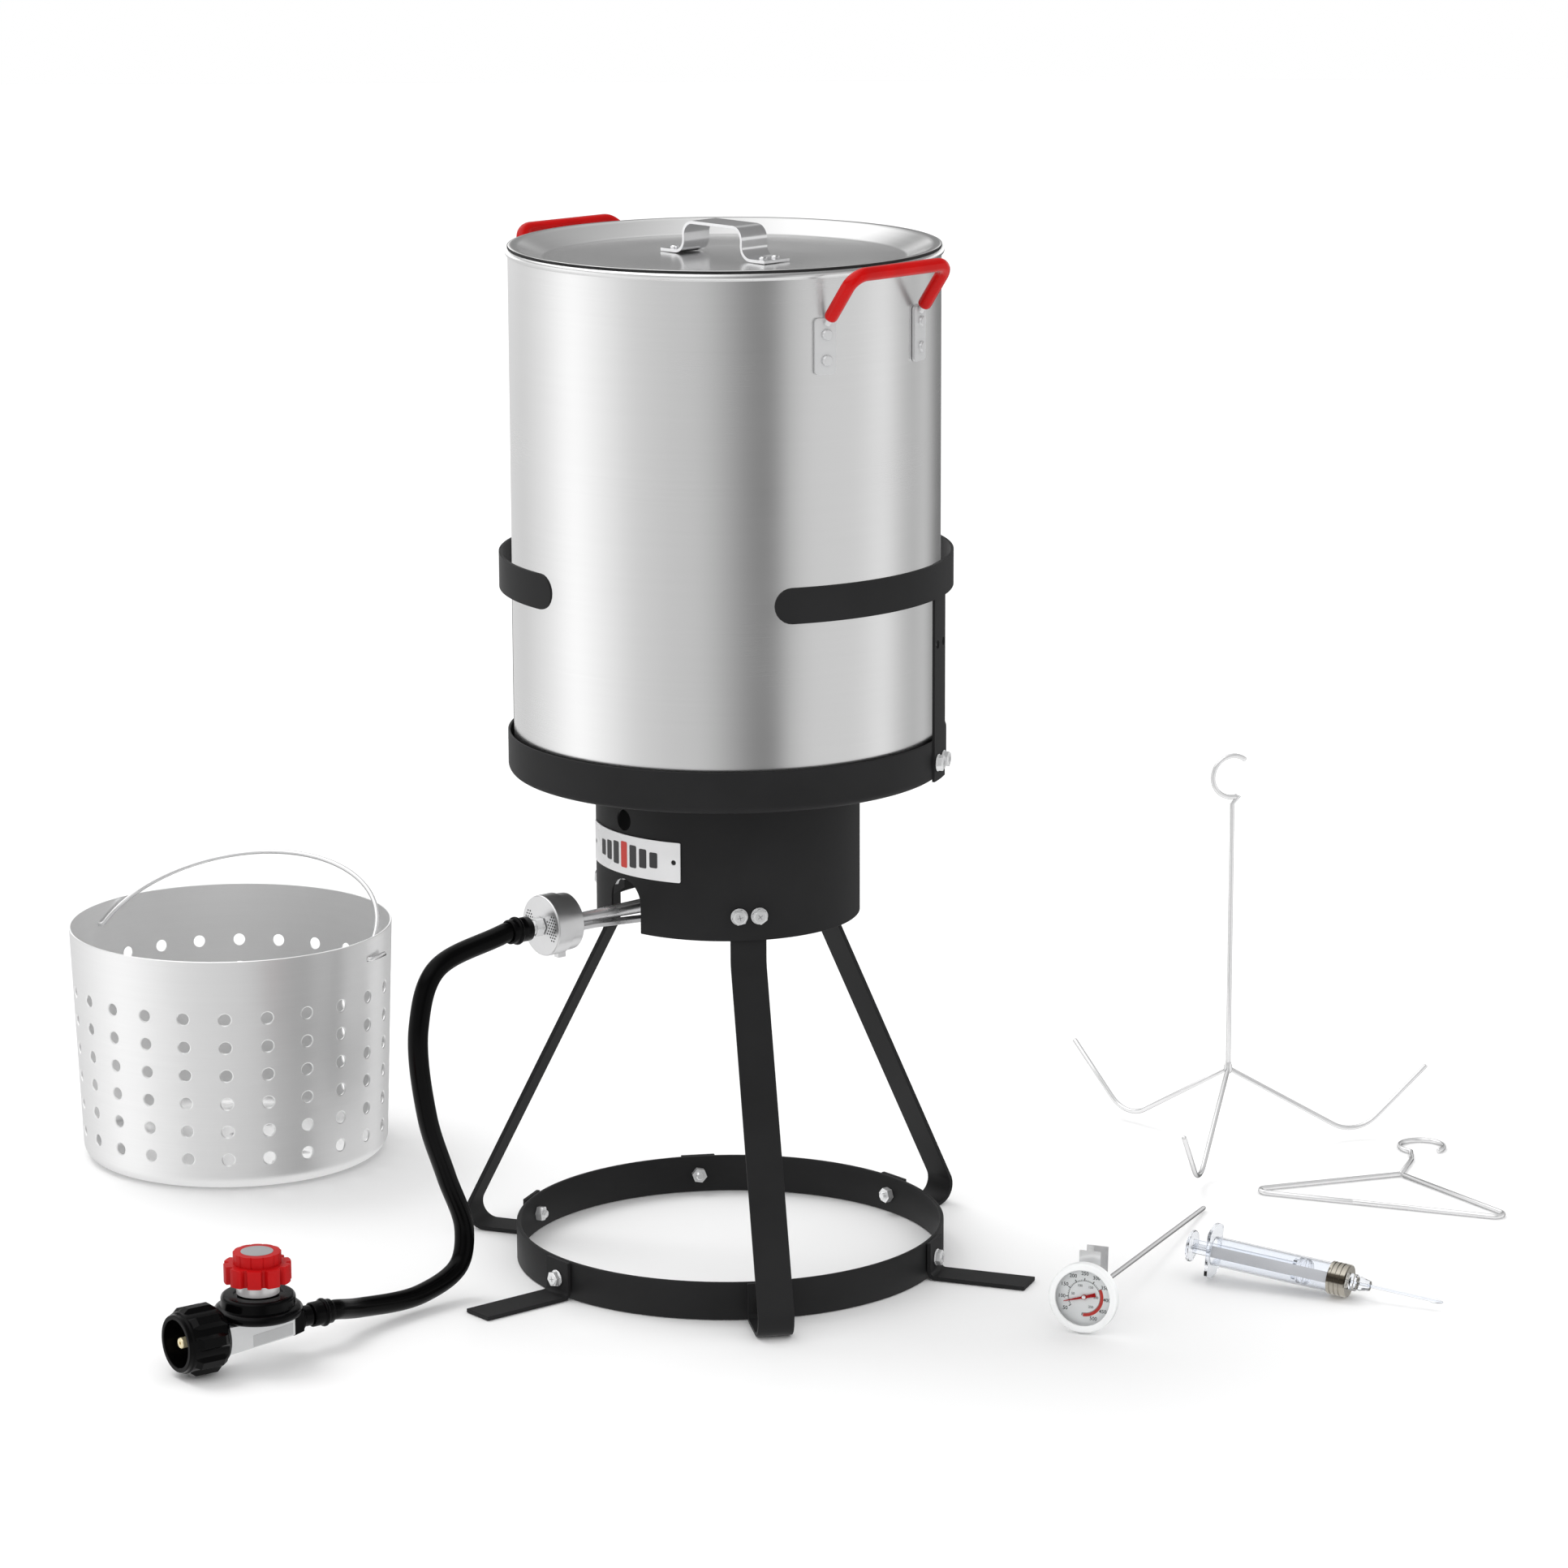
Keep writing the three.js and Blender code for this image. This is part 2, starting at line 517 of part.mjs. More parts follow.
function buildRegulator() {
  const frame = new THREE.Group();
  frame.position.set(REGULATOR.x, REGULATOR.y, 0);
  frame.rotation.z = radians(REGULATOR.turn);
  kit.add(frame);
  const alongX = new THREE.Matrix4().makeRotationY(Math.PI / 2).setPosition(0, 0, REGULATOR_AXIS_Z);

  const side = [[-32, 13], [-32, 33.2], [24, 33.2], [24, 19]];
  const block = prism(side, 26).rotateX(Math.PI / 2).translate(0, 13, 0);
  const outlet = rod(6.6, 20, 40, 12).applyMatrix4(alongX);
  add("regulator_body", join(block, outlet), materials.aluminium, frame);

  const bonnet = [[0, 33.5], [29, 33.5], [31.3, 35.5], [31.3, 39.5], [26.3, 42], [26.3, 47], [24, 49.6],
    [0, 49.6]];
  const spindleBore = rod(4.6, 40, 60, 12);
  add("regulator_bonnet", cut(turned(bonnet, 32), [spindleBore]), materials.blackPlastic, frame);
  const collar = turned([[4.6, 49.9], [15.2, 49.9], [15.2, 58.4], [4.6, 58.4]], 20);
  add("regulator_collar", collar, materials.zincSteel, frame);

  const lower = prism(lobedOutline(23.7, 3.4, 10, 4), 13).translate(0, 0, 58.9);
  const upper = prism(lobedOutline(16.8, 0.8, 12, 2), 9).translate(0, 0, 71);
  const recess = rod(11.4, 79.2, 82, 16);
  const spindle = rod(4, 42, 60, 12);
  add("regulator_knob", cut(join(lower, upper, spindle), [recess]), materials.redPlastic, frame);
  add("knob_disc", rod(11, 79.5, 80.3, 16), materials.aluminium, frame);

  const nutOutline = [[17.2, -66.5], [20.2, -66.5], [22, -64], [22, -36], [19, -32.4], [9, -32.4],
    [9, -35], [17.2, -37]];
  const ribs = Array.from({ length: 9 }, (_, i) =>
    box(20.5, 24.8, -4, 4, -62, -35).rotateZ(radians(i * 40 + 20)),
  );
  add("tank_nut", join(turned(nutOutline, 27), ...ribs).applyMatrix4(alongX), materials.blackPlastic, frame);
  const nipple = [[0, -32.3], [8.6, -32.3], [8.6, -38], [6.5, -38], [6.5, -52], [2.6, -58], [2.6, -63],
    [0, -63]];
  add("tank_nipple", turned(nipple, 14).applyMatrix4(alongX), materials.brass, frame);

  const hoseEnd = ferrule(42, 58).applyMatrix4(alongX);
  add("hose_ferrule_tank", hoseEnd, materials.rubber, frame);
  add("hose_ferrule_burner", ferrule(SHUTTER_FACE + 11.5, SHUTTER_FACE + 29), materials.rubber,
    groupAt(facing(FRONT, AXIS_Z)));
}

// ---------------------------------------------------------------- pot and lid
function buildPot() {
  const corner = 12;
  const inner = POT_R - POT_WALL;
  const outline = [
    [0, POT_BOTTOM],
    ...arc(POT_R - corner, POT_BOTTOM + corner, corner, -90, 0, 3),
    ...arc(POT_R - 0.4, POT_BEAD_Z, POT_BEAD_R, -80, 160, 5),
    ...arc(inner - corner + POT_WALL, POT_BOTTOM + corner, corner - POT_WALL, 0, -90, 2),
    [0, POT_BOTTOM + POT_WALL],
  ];
  add("pot", turned(outline), materials.aluminium);
}

// A wire bail that comes out behind the tops of two riveted plates, and the red sleeve over it.
function buildPotHandle(side, azimuth) {
  const spread = 17.25; // degrees from the handle's middle to each plate
  const [plateBottom, plateTop] = [680, 719.5];
  const rivetHeights = [690, 708];
  const plates = [-spread, spread].map((offset) => {
    const plate = curvedPlate(POT_R + GAP, 2.6, azimuth + offset, 3, plateBottom, plateTop, 1);
    const rivets = rivetHeights.map((z) => rod(4.2, POT_R + 1, POT_R + 5, 8)
      .applyMatrix4(facing(azimuth + offset, z)));
    return join(plate, ...rivets);
  });
  const end = POT_R * Math.sin(radians(spread));
  const wall = POT_R * Math.cos(radians(spread));
  const reach = 30; // how far the grip stands out from the wall
  const rise = 1.5; // and how far above the bead
  const wireR = 2.6;
  const foot = [plateTop - 4, wall + wireR + 2 * GAP];
  const grip = [POT_BEAD_Z + rise, wall + reach];
  const corners = [[-end, ...foot], [-end, ...grip], [end, ...grip], [end, ...foot]]
    .map(([x, y, z]) => new THREE.Vector3(x, y, z).applyMatrix4(facing(azimuth)));
  add(`pot_handle_${side}`, join(...plates, swept(rounded(corners, 9, 3), wireR, 6)), materials.zincSteel);
  const sleeveStart = corners[0].clone().lerp(corners[1], 0.14);
  const sleeveEnd = corners[3].clone().lerp(corners[2], 0.14);
  const sleeve = rounded([sleeveStart, corners[1], corners[2], sleeveEnd], 9, 3);
  add(`pot_grip_${side}`, swept(sleeve, 4.7, 8, wireR + 2 * GAP), materials.redVinyl);
}

function buildLid() {
  const under = LID_PANEL_TOP - LID_SHEET;
  const lipR = 150;
  const outline = [[0, LID_PANEL_TOP], [LID_PANEL_R, LID_PANEL_TOP], [lipR, LID_RIM_TOP], [POT_R, LID_RIM_TOP],
    [POT_R, LID_RIM_TOP - LID_SHEET], [lipR, LID_RIM_TOP - LID_SHEET], [LID_PANEL_R, under], [0, under]];
  add("lid", turned(outline), materials.aluminium);

  const thickness = 2.5;
  const bottom = LID_PANEL_TOP + GAP + thickness / 2;
  const [legX, footX, top] = [30, 54, 768];
  const corners = flat([[-footX, bottom], [-legX, bottom], [-legX, top],
    [legX, top], [legX, bottom], [footX, bottom]]);
  const bar = strap(rounded(corners, 10, 3), thickness, 25);
  const rivets = [-46, 46].map((x) => rod(4.5, 0, 3.2, 8).rotateX(-Math.PI / 2).translate(x, bottom, 0));
  add("lid_handle", join(bar, ...rivets).applyMatrix4(strapFrame(HANDLE_AZIMUTH)), materials.aluminium);
}

// ---------------------------------------------------------------- basket, rack and lifter
function basketRadius(z) {
  return BASKET.bottomR + ((BASKET.topR - BASKET.bottomR) * z) / BASKET.height;
}

const BAIL_PIVOT = { azimuth: 63, z: 168.5 };
const BAIL_LEAN = 62; // degrees back from upright at rest
const PERFORATION_R = 4.7;
const PERFORATION_ROWS = [25, 47.6, 70.2, 92.8, 115.4, 138];
const BASKET_SIDES = 48; // every second side of the wall carries a column of holes
const BASKET_TURN = 3; // azimuth of the first column

// The basket is laid out face by face, so each hole costs no more triangles than its own edges.
function basketShell() {
  const { height, wall } = BASKET;
  const step = 360 / BASKET_SIDES;
  const bend = 11;
  const at = (side, r, z) => around(BASKET_TURN + ((side % BASKET_SIDES) - 0.5) * step, r, z);
  const outer = arc(basketRadius(bend) - bend, bend, bend, -90, 0, 3);
  const inner = arc(basketRadius(bend) - bend, bend, bend - wall, 0, -90, 3);
  const triangles = [];
  const quad = (a, b, c, d) => triangles.push(a, b, c, a, c, d);
  const strip = (outline) => {
    for (let i = 0; i + 1 < outline.length; i++) {
      const [[r0, z0], [r1, z1]] = [outline[i], outline[i + 1]];
      for (let side = 0; side < BASKET_SIDES; side++) {
        if (r0 === 0) triangles.push(at(0, 0, z0), at(side + 1, r1, z1), at(side, r1, z1));
        else if (r1 === 0) triangles.push(at(side, r0, z0), at(side + 1, r0, z0), at(0, 0, z1));
        else quad(at(side, r0, z0), at(side + 1, r0, z0), at(side + 1, r1, z1), at(side, r1, z1));
      }
    }
  };
  strip([[0, 0], ...outer]);
  strip([[BASKET.topR, height], [BASKET.topR - wall, height]]);
  strip([...inner, [0, wall]]);
  for (let side = 0; side < BASKET_SIDES; side++) {
    wallPanel(side, side % 2 === 0 ? PERFORATION_ROWS : []);
  }
  return new THREE.BufferGeometry().setFromPoints(triangles);

  // One flat of the wall, outside and inside, with the edges of its holes.
  function wallPanel(side, rows) {
    const out = outward(BASKET_TURN + side * step);
    const across = new THREE.Vector3(0, 0, 1).cross(out);
    const half = radians(step / 2);
    const point = (u, z, depth) => out.clone().multiplyScalar((basketRadius(z) - depth) * Math.cos(half))
      .addScaledVector(across, u).setZ(z);
    const holes = rows.map((z) => arc(0, z, PERFORATION_R, 0, 300, 5));
    const frame = [[-1, bend], [1, bend], [1, height], [-1, height]];
    const border = frame.map(([way, z]) => [way * basketRadius(z) * Math.sin(half), z]);
    const faces = THREE.ShapeUtils.triangulateShape(flat(border), holes.map(flat));
    for (const depth of [0, wall]) {
      const edge = frame.map(([way, z]) => at(side + (way + 1) / 2, basketRadius(z) - depth, z));
      const points = [...edge, ...holes.flat().map(([u, z]) => point(u, z, depth))];
      for (const [a, b, c] of faces) {
        triangles.push(...(depth ? [c, b, a] : [a, b, c]).map((k) => points[k]));
      }
    }
    for (const hole of holes) {
      hole.forEach(([u, z], i) => {
        const [nextU, nextZ] = hole[(i + 1) % hole.length];
        quad(point(u, z, 0), point(nextU, nextZ, 0), point(nextU, nextZ, wall), point(u, z, wall));
      });
    }
  }
}

function buildBasket() {
  const frame = new THREE.Group();
  frame.position.set(BASKET.x, BASKET.y, 0);
  kit.add(frame);
  const pivotHoles = [BAIL_PIVOT.azimuth, BAIL_PIVOT.azimuth + 180].map((azimuth) =>
    rod(WIRE_R + 0.5, 110, 140, 6).applyMatrix4(facing(azimuth, BAIL_PIVOT.z)));
  add("basket", cut(basketShell(), pivotHoles), materials.aluminium, frame);
  buildBail(frame);
}

// The bail's ends pass out through the wall and turn aside; it leans back from upright at rest.
function buildBail(frame) {
  const half = basketRadius(BAIL_PIVOT.z) - BASKET.wall - WIRE_R - 1.2;
  const outside = basketRadius(BAIL_PIVOT.z) + WIRE_R + 1.2;
  const height = 108;
  const tail = 20; // each end turns aside and lies level when the bail is at rest
  const bow = Array.from({ length: 19 }, (_, i) => {
    const angle = (Math.PI * i) / 18;
    return new THREE.Vector3(0, height * Math.sin(angle), half * Math.cos(angle));
  });
  const [tailX, tailY] = [tail * Math.cos(radians(BAIL_LEAN)), tail * Math.sin(radians(BAIL_LEAN))];
  const end = (sign) => [
    new THREE.Vector3(sign * tailX, sign * tailY, sign * outside),
    new THREE.Vector3(0, 0, sign * outside),
  ];
  const first = rounded([...end(1), bow[0]], 3, 3);
  const last = rounded([bow.at(-1), ...end(-1).reverse()], 3, 3);
  const wire = swept([...first, ...bow.slice(1, -1), ...last], WIRE_R, 6);
  const lean = new THREE.Matrix4().makeRotationZ(radians(-BAIL_LEAN));
  wire.applyMatrix4(lean).applyMatrix4(facing(BAIL_PIVOT.azimuth, BAIL_PIVOT.z));
  add("basket_bail", wire, materials.wire, frame);
}

// A rod with a hook at its top and three prongs that stand on the floor and turn up at their tips.
function buildRack() {
  const hub = 66;
  const hook = arc(0, 302, 16.5, -110, 130, 12).map(([y, z]) => new THREE.Vector3(0, -y, z));
  const stem = [new THREE.Vector3(0, 0, hub - 1), new THREE.Vector3(0, 0, 280)];
  const rodAndHook = swept([...stem, ...hook], WIRE_R, 6);
  const prongs = [0, 120, 240].map((turn) => {
    const corners = [[0, hub], [108, WIRE_R], [166, 56.5]].map(([x, z]) => new THREE.Vector3(x, 0, z));
    return swept(rounded(corners, 26, 5), WIRE_R, 6).rotateZ(radians(RACK.turn + turn));
  });
  const mesh = add("poultry_rack", join(rodAndHook.rotateZ(radians(-72)), ...prongs), materials.wire);
  mesh.position.set(RACK.x, RACK.y, 0.05);
}

// A wire hanger lying flat, with a round hook: it lifts the hot rack out of the pot.
function buildLifter() {
  const flat = ([x, y]) => new THREE.Vector3(x, y, WIRE_R);
  const [left, right, apex] = [[393, 146], [597, 69], [520, 187]].map(flat);
  const base = left.clone().lerp(right, 0.4);
  const loop = rounded([base, right, apex.clone().lerp(right, 0.02)], 10, 5);
  const loopBack = rounded([apex, left, base.clone().lerp(right, 0.02)], 10, 5);
  const hook = arc(545, 262, 17.5, 235, -50, 14).map(flat);
  const neck = [apex, flat([536, 236]), ...hook];
  add("rack_lifter", join(...[loop, loopBack, neck].map((line) => swept(line, WIRE_R, 6))), materials.wire);
}

// ---------------------------------------------------------------- thermometer
// Drawn with the dial facing +Z and the stem along -Z.
function buildThermometer() {
  const dial = new THREE.Vector3(252.5, -187.8, 25.8);
  const tip = new THREE.Vector3(360.7, 100.3, 2.2);
  const out = dial.clone().sub(tip).normalize();
  const across = new THREE.Vector3(0, 0, 1).cross(out).normalize();
  const up = out.clone().cross(across);
  const frame = groupAt(new THREE.Matrix4().makeBasis(across, up, out).setPosition(dial));
  const stemLength = dial.distanceTo(tip);
  const r = 25.2;
  const shell = turned([[0, -stemLength], [1.2, -stemLength + 0.5], [1.75, -stemLength + 3], [1.75, -8],
    [4, -8], [4, -5], [r - 3, -5], [r, -3.6], [r, 2.4], [r - 1.2, 4], [20.2, 3.2], [20.2, 2.4],
    [r - 1.4, 2.4], [r - 1.4, -3.6], [0, -3.6]], 28);
  add("thermometer_case", shell, materials.zincSteel, frame);
  const face = turned([[1.2, -2.6], [23.3, -2.6], [23.3, -2], [1.2, -2]], 24);
  add("thermometer_dial", face, materials.white, frame);
  add("thermometer_lens", rod(23.4, 1, 2.1, 24), materials.glass, frame);
  const needle = prism([[-7.8, -1.2], [-1.5, -0.9], [0, -1.8], [1.5, -0.6], [15, -0.15], [15, 0.15],
    [1.5, 0.6], [0, 1.8], [-1.5, 0.9], [-7.8, 1.2]], 0.5);
  const pointer = join(needle.translate(0, 0, -1.2), rod(0.9, -2.7, -0.9, 6));
  add("thermometer_pointer", pointer.rotateZ(radians(-164)), materials.redPlastic, frame);

  const clipTop = 31;
  const bend = flat([[-9, clipTop], [-9, 4], [-2.5, -4], [2.5, -4], [9, 4], [9, clipTop]]);
  const clip = strap(rounded(bend, 3, 2), 0.8, 16).rotateY(Math.PI / 2);
  const bore = rod(1.75 + GAP, -60, 60, 8);
  add("thermometer_clip", cut(clip.translate(0, 0, -22), [bore]), materials.zincSteel, frame);
}

// ---------------------------------------------------------------- injector
// Drawn along +Z from the thumb disc to the needle tip.
function buildInjector() {
  const thumb = new THREE.Vector3(339.2, -58.6, 22.6);
  const tip = new THREE.Vector3(513.4, -142.4, 6);
  const along = tip.clone().sub(thumb).normalize();
  const across = along.clone().cross(new THREE.Vector3(0, 0, 1)).normalize();
  const up = along.clone().cross(across);
  const frame = groupAt(new THREE.Matrix4().makeBasis(across, up, along).setPosition(thumb));
  const flange = arc(0, 0, 20.5, 0, 345, 23).map(([x, y]) => [THREE.MathUtils.clamp(x, -13.5, 13.5), y]);
  const sleeve = turned([[9.6, 17], [10.8, 17], [10.8, 114], [9.6, 114]], 20);
  const plate = cut(prism(flange, 2.4).translate(0, 0, 16), [rod(9.6, 10, 30, 20)]);
  add("injector_barrel", join(sleeve, plate), materials.glass, frame);
  const thumbDisc = rod(11.7, -1.2, 1.2, 18);
  const ribs = [box(-5.2, 5.2, -0.9, 0.9, 0, 82), box(-0.9, 0.9, -5.2, 5.2, 0, 82)];
  add("injector_plunger", join(thumbDisc, ...ribs, rod(7.6, 80, 82.6, 12)), materials.glass, frame);
  const seal = turned([[0, 82.9], [8, 82.9], [9.3, 84.5], [9.3, 91], [8, 92.5], [0, 92.5]], 16);
  add("injector_seal", seal, materials.rubber, frame);
  const capBody = prism(lobedOutline(12.2, 0.7, 16, 2), 14).translate(0, 0, 109);
  const capHollow = turned([[0, 108], [11.1, 108], [11.1, 119], [3, 119], [3, 125], [0, 125]], 16);
  add("injector_cap", cut(capBody, [capHollow]), materials.zincSteel, frame);
  const nozzle = turned([[0.9, 114.4], [9, 114.4], [9, 118.6], [2.7, 118.6], [2.7, 123.4], [6.4, 124],
    [4.4, 139], [1.2, 139.5], [1.2, 190], [0.6, 194.4], [0.5, 194.4], [0.5, 150], [0.9, 138]], 12);
  add("injector_nozzle", nozzle, materials.glass, frame);
}

// ---------------------------------------------------------------- the kit
buildShroud();
buildNamePlate();
for (const [name, azimuth] of Object.entries(LEG_AZIMUTHS)) buildLeg(`leg_${name}`, azimuth);
for (const [name, azimuth] of Object.entries(FOOT_AZIMUTHS)) buildFoot(`foot_${name}`, azimuth);
buildBaseRing();
buildGuard();
buildFasteners();
buildSpider();
buildBurnerHead();
buildVenturi();
buildAirIntake();
buildHose();
buildRegulator();
buildPot();
buildPotHandle("right", HANDLE_AZIMUTH);
buildPotHandle("left", LEFT_HANDLE_AZIMUTH);
buildLid();
buildBasket();
buildRack();
buildLifter();
buildThermometer();
buildInjector();

// Centre the kit's footprint on the origin, standing on the floor.
kit.updateMatrixWorld(true);
const extent = new THREE.Box3().setFromObject(kit, true);
const middle = extent.getCenter(new THREE.Vector3());
kit.children.forEach((child) => {
  child.position.x -= middle.x;
  child.position.y -= middle.y;
  child.position.z -= extent.min.z;
});

export default kit;
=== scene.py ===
import math

import bmesh
import bpy
from mathutils import Matrix, Vector


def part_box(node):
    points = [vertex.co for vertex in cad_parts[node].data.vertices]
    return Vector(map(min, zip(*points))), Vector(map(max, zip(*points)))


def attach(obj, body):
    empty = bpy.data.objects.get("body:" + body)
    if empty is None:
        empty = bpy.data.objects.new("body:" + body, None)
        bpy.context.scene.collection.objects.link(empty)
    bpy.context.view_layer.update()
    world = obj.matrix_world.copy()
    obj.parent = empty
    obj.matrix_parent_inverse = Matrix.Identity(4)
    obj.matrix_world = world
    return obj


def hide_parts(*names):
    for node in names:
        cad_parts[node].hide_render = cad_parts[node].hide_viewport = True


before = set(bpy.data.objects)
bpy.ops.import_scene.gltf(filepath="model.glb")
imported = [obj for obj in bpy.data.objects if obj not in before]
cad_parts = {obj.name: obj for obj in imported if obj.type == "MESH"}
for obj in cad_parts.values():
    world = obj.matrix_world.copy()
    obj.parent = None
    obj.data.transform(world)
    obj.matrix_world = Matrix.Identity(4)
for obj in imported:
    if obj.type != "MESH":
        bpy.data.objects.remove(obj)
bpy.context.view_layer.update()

# Looks of an outdoor turkey fryer kit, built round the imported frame.
# Shapes are drawn in millimetres about the burner stand's axis, with z = 0 on the floor; mesh_of()
# turns them into metres in the row frame. Azimuths are in degrees, 0 towards the front (-Y) and
# positive towards the right (+X).

MM = 0.001
shroud_low, shroud_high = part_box("burner_shroud")
AXIS = Vector(((shroud_low.x + shroud_high.x) / 2, (shroud_low.y + shroud_high.y) / 2, 0))
UP = Vector((0, 0, 1))

# ------------------------------------------------------------------ driving dimensions (mm)
FRONT = -50.5
LEGS = {"front": FRONT + 60, "back": FRONT + 180, "left": FRONT - 60}
FEET = {"front": FRONT, "right": FRONT + 120, "back": FRONT + 240}
SHROUD_R = 96.5
SHROUD_BOTTOM = 264
SHEET = 1.6
BAND_R = 159.5
BAND_TOP = 402
LEDGE = 371.5
STRAP = 26
LEG_THICK = 3
RING_R = 158.7
RING_HEIGHT = 28
FOOT_TIP_R = 234
GUARD_FRONT = -18
GUARD_BOTTOM = 372.7
HOOP = (507.5, 533)
HOOP_HALF_OPENING = 30.4
LEG_BOLT_Z = 282.3
LEG_BOLT_SPREAD = 7.3
GUARD_BOLT_Z = 386
GUARD_HOLE_Z = 472.5
GUARD_BOLT_SPREAD = 7
POT_R = 155
POT_BOTTOM = 373.4
POT_BEAD_Z = 749.8
HANDLE_AZIMUTH = 44
LEFT_HANDLE_AZIMUTH = 221.3
GRIP_Z = 751.3
LID_RIM = 754.2
LID_PANEL = 744.4
INLET_Z = 279.5
SHUTTER_FACE = 172
SHUTTER_R = 22
HOSE_R = 7.2
WIRE_R = 1.8
BASKET = Vector((-395, 279, 0))
BASKET_TOP_R = 126.5
BASKET_BOTTOM_R = 119.8
BASKET_HEIGHT = 184.4
BASKET_WALL = 1.4
BAIL_AZIMUTH = 63
BAIL_Z = 168.5
BAIL_LEAN = 62
RACK = Vector((391, 264, 0))
RACK_TURN = 13.8
REGULATOR = Vector((-328, -242.4, 0))
REGULATOR_TURN = 35.6
REGULATOR_Z = 25
DIAL = Vector((252.5, -187.8, 25.8))
STEM_TIP = Vector((360.7, 100.3, 2.2))
THUMB = Vector((339.2, -58.6, 22.6))
NEEDLE_TIP = Vector((513.4, -142.4, 6))


# ------------------------------------------------------------------ shapes
class Shape:
    """Points in millimetres and faces, before they become a Blender mesh."""

    def __init__(self, points=(), faces=()):
        self.points = [Vector(p) for p in points]
        self.faces = [tuple(f) for f in faces]

    def moved(self, matrix):
        return Shape([matrix @ p for p in self.points], self.faces)

    def shifted(self, x, y, z):
        return self.moved(Matrix.Translation((x, y, z)))

    def __add__(self, other):
        start = len(self.points)
        faces = [tuple(i + start for i in face) for face in other.faces]
        return Shape(self.points + other.points, self.faces + faces)


def total(shapes):
    result = Shape()
    for shape in shapes:
        result = result + shape
    return result


def outward(azimuth):
    a = math.radians(azimuth)
    return Vector((math.sin(a), -math.cos(a), 0))


def around(azimuth, r, z):
    return outward(azimuth) * r + UP * z


def basis(x, y, z, origin=(0, 0, 0)):
    matrix = Matrix((x, y, z)).transposed().to_4x4()
    matrix.translation = Vector(origin)
    return matrix


def spun(angle, axis="Z"):
    return Matrix.Rotation(math.radians(angle), 4, axis)


def facing(azimuth, z=0):
    """Local z points outward, y is up."""
    out = outward(azimuth)
    return basis(UP.cross(out), UP, out, (0, 0, z))


def strap_frame(azimuth):
    """Local x points outward, y is up."""
    out = outward(azimuth)
    return basis(out, UP, out.cross(UP))


def arc(x, y, radius, start, end, steps):
    angles = [math.radians(start + (end - start) * i / steps) for i in range(steps + 1)]
    return [(x + radius * math.cos(a), y + radius * math.sin(a)) for a in angles]


def circle(radius, sides, x=0, y=0):
    return arc(x, y, radius, 0, 360 - 360 / sides, sides - 1)


def rounded(corners, radius, steps=8):
    """A line through corners, with a true arc of the radius in each bend where there is room."""
    corners = [Vector(c) for c in corners]
    points = [corners[0]]
    for before, at, after in zip(corners, corners[1:], corners[2:]):
        a = (before - at).normalized()
        b = (after - at).normalized()
        half = a.angle(b) / 2
        if half > math.radians(89.5):
            points.append(at)
            continue
        room = min((before - at).length, (after - at).length) / 2.05
        reach = min(radius / math.tan(half), room)
        r = reach * math.tan(half)
        middle = at + (a + b).normalized() * (r / math.sin(half))
        start = at + a * reach - middle
        end = at + b * reach - middle
        sweep_angle = start.angle(end)
        for k in range(steps + 1):
            t = k / steps
            w0 = math.sin((1 - t) * sweep_angle) / math.sin(sweep_angle)
            w1 = math.sin(t * sweep_angle) / math.sin(sweep_angle)
            points.append(middle + start * w0 + end * w1)
    points.append(corners[-1])
    return points


def softened(outline, radius, steps=4):
    """A closed outline whose corners are all rounded."""
    flat = [Vector((p[0], p[1], 0)) for p in outline]
    looped = [flat[-1]] + flat + [flat[0]]
    return [(p.x, p.y) for p in rounded(looped, radius, steps)[1:-1]]


def lathe(outline, sides=128):
    """Turned about z from [radius, z] points: closed on itself unless both ends are on the axis."""
    on_axis = [abs(r) < 1e-6 for r, _ in outline]
    closes = not (on_axis[0] and on_axis[-1])
    points, rows = [], []
    for (r, z), single in zip(outline, on_axis):
        rows.append((len(points), single))
        if single:
            points.append((0, 0, z))
        else:
            points += [(x, y, z) for x, y in circle(r, sides)]
    faces = []
    pairs = list(zip(rows, rows[1:]))
    if closes:
        pairs.append((rows[-1], rows[0]))
    for (a, a_single), (b, b_single) in pairs:
        for i in range(sides):
            j = (i + 1) % sides
            if a_single:
                faces.append((a, b + j, b + i))
            elif b_single:
                faces.append((a + i, a + j, b))
            else:
                faces.append((a + i, a + j, b + j, b + i))
    return Shape(points, faces)


def extruded(outline, z0, z1):
    n = len(outline)
    points = [(x, y, z0) for x, y in outline] + [(x, y, z1) for x, y in outline]
    faces = [tuple(range(n - 1, -1, -1)), tuple(range(n, 2 * n))]
    faces += [(i, (i + 1) % n, n + (i + 1) % n, n + i) for i in range(n)]
    return Shape(points, faces)


def cylinder(radius, z0, z1, sides=32):
    return lathe([(0, z0), (radius, z0), (radius, z1), (0, z1)], sides)


def block(x0, x1, y0, y1, z0, z1):
    return extruded([(x0, y0), (x1, y0), (x1, y1), (x0, y1)], z0, z1)


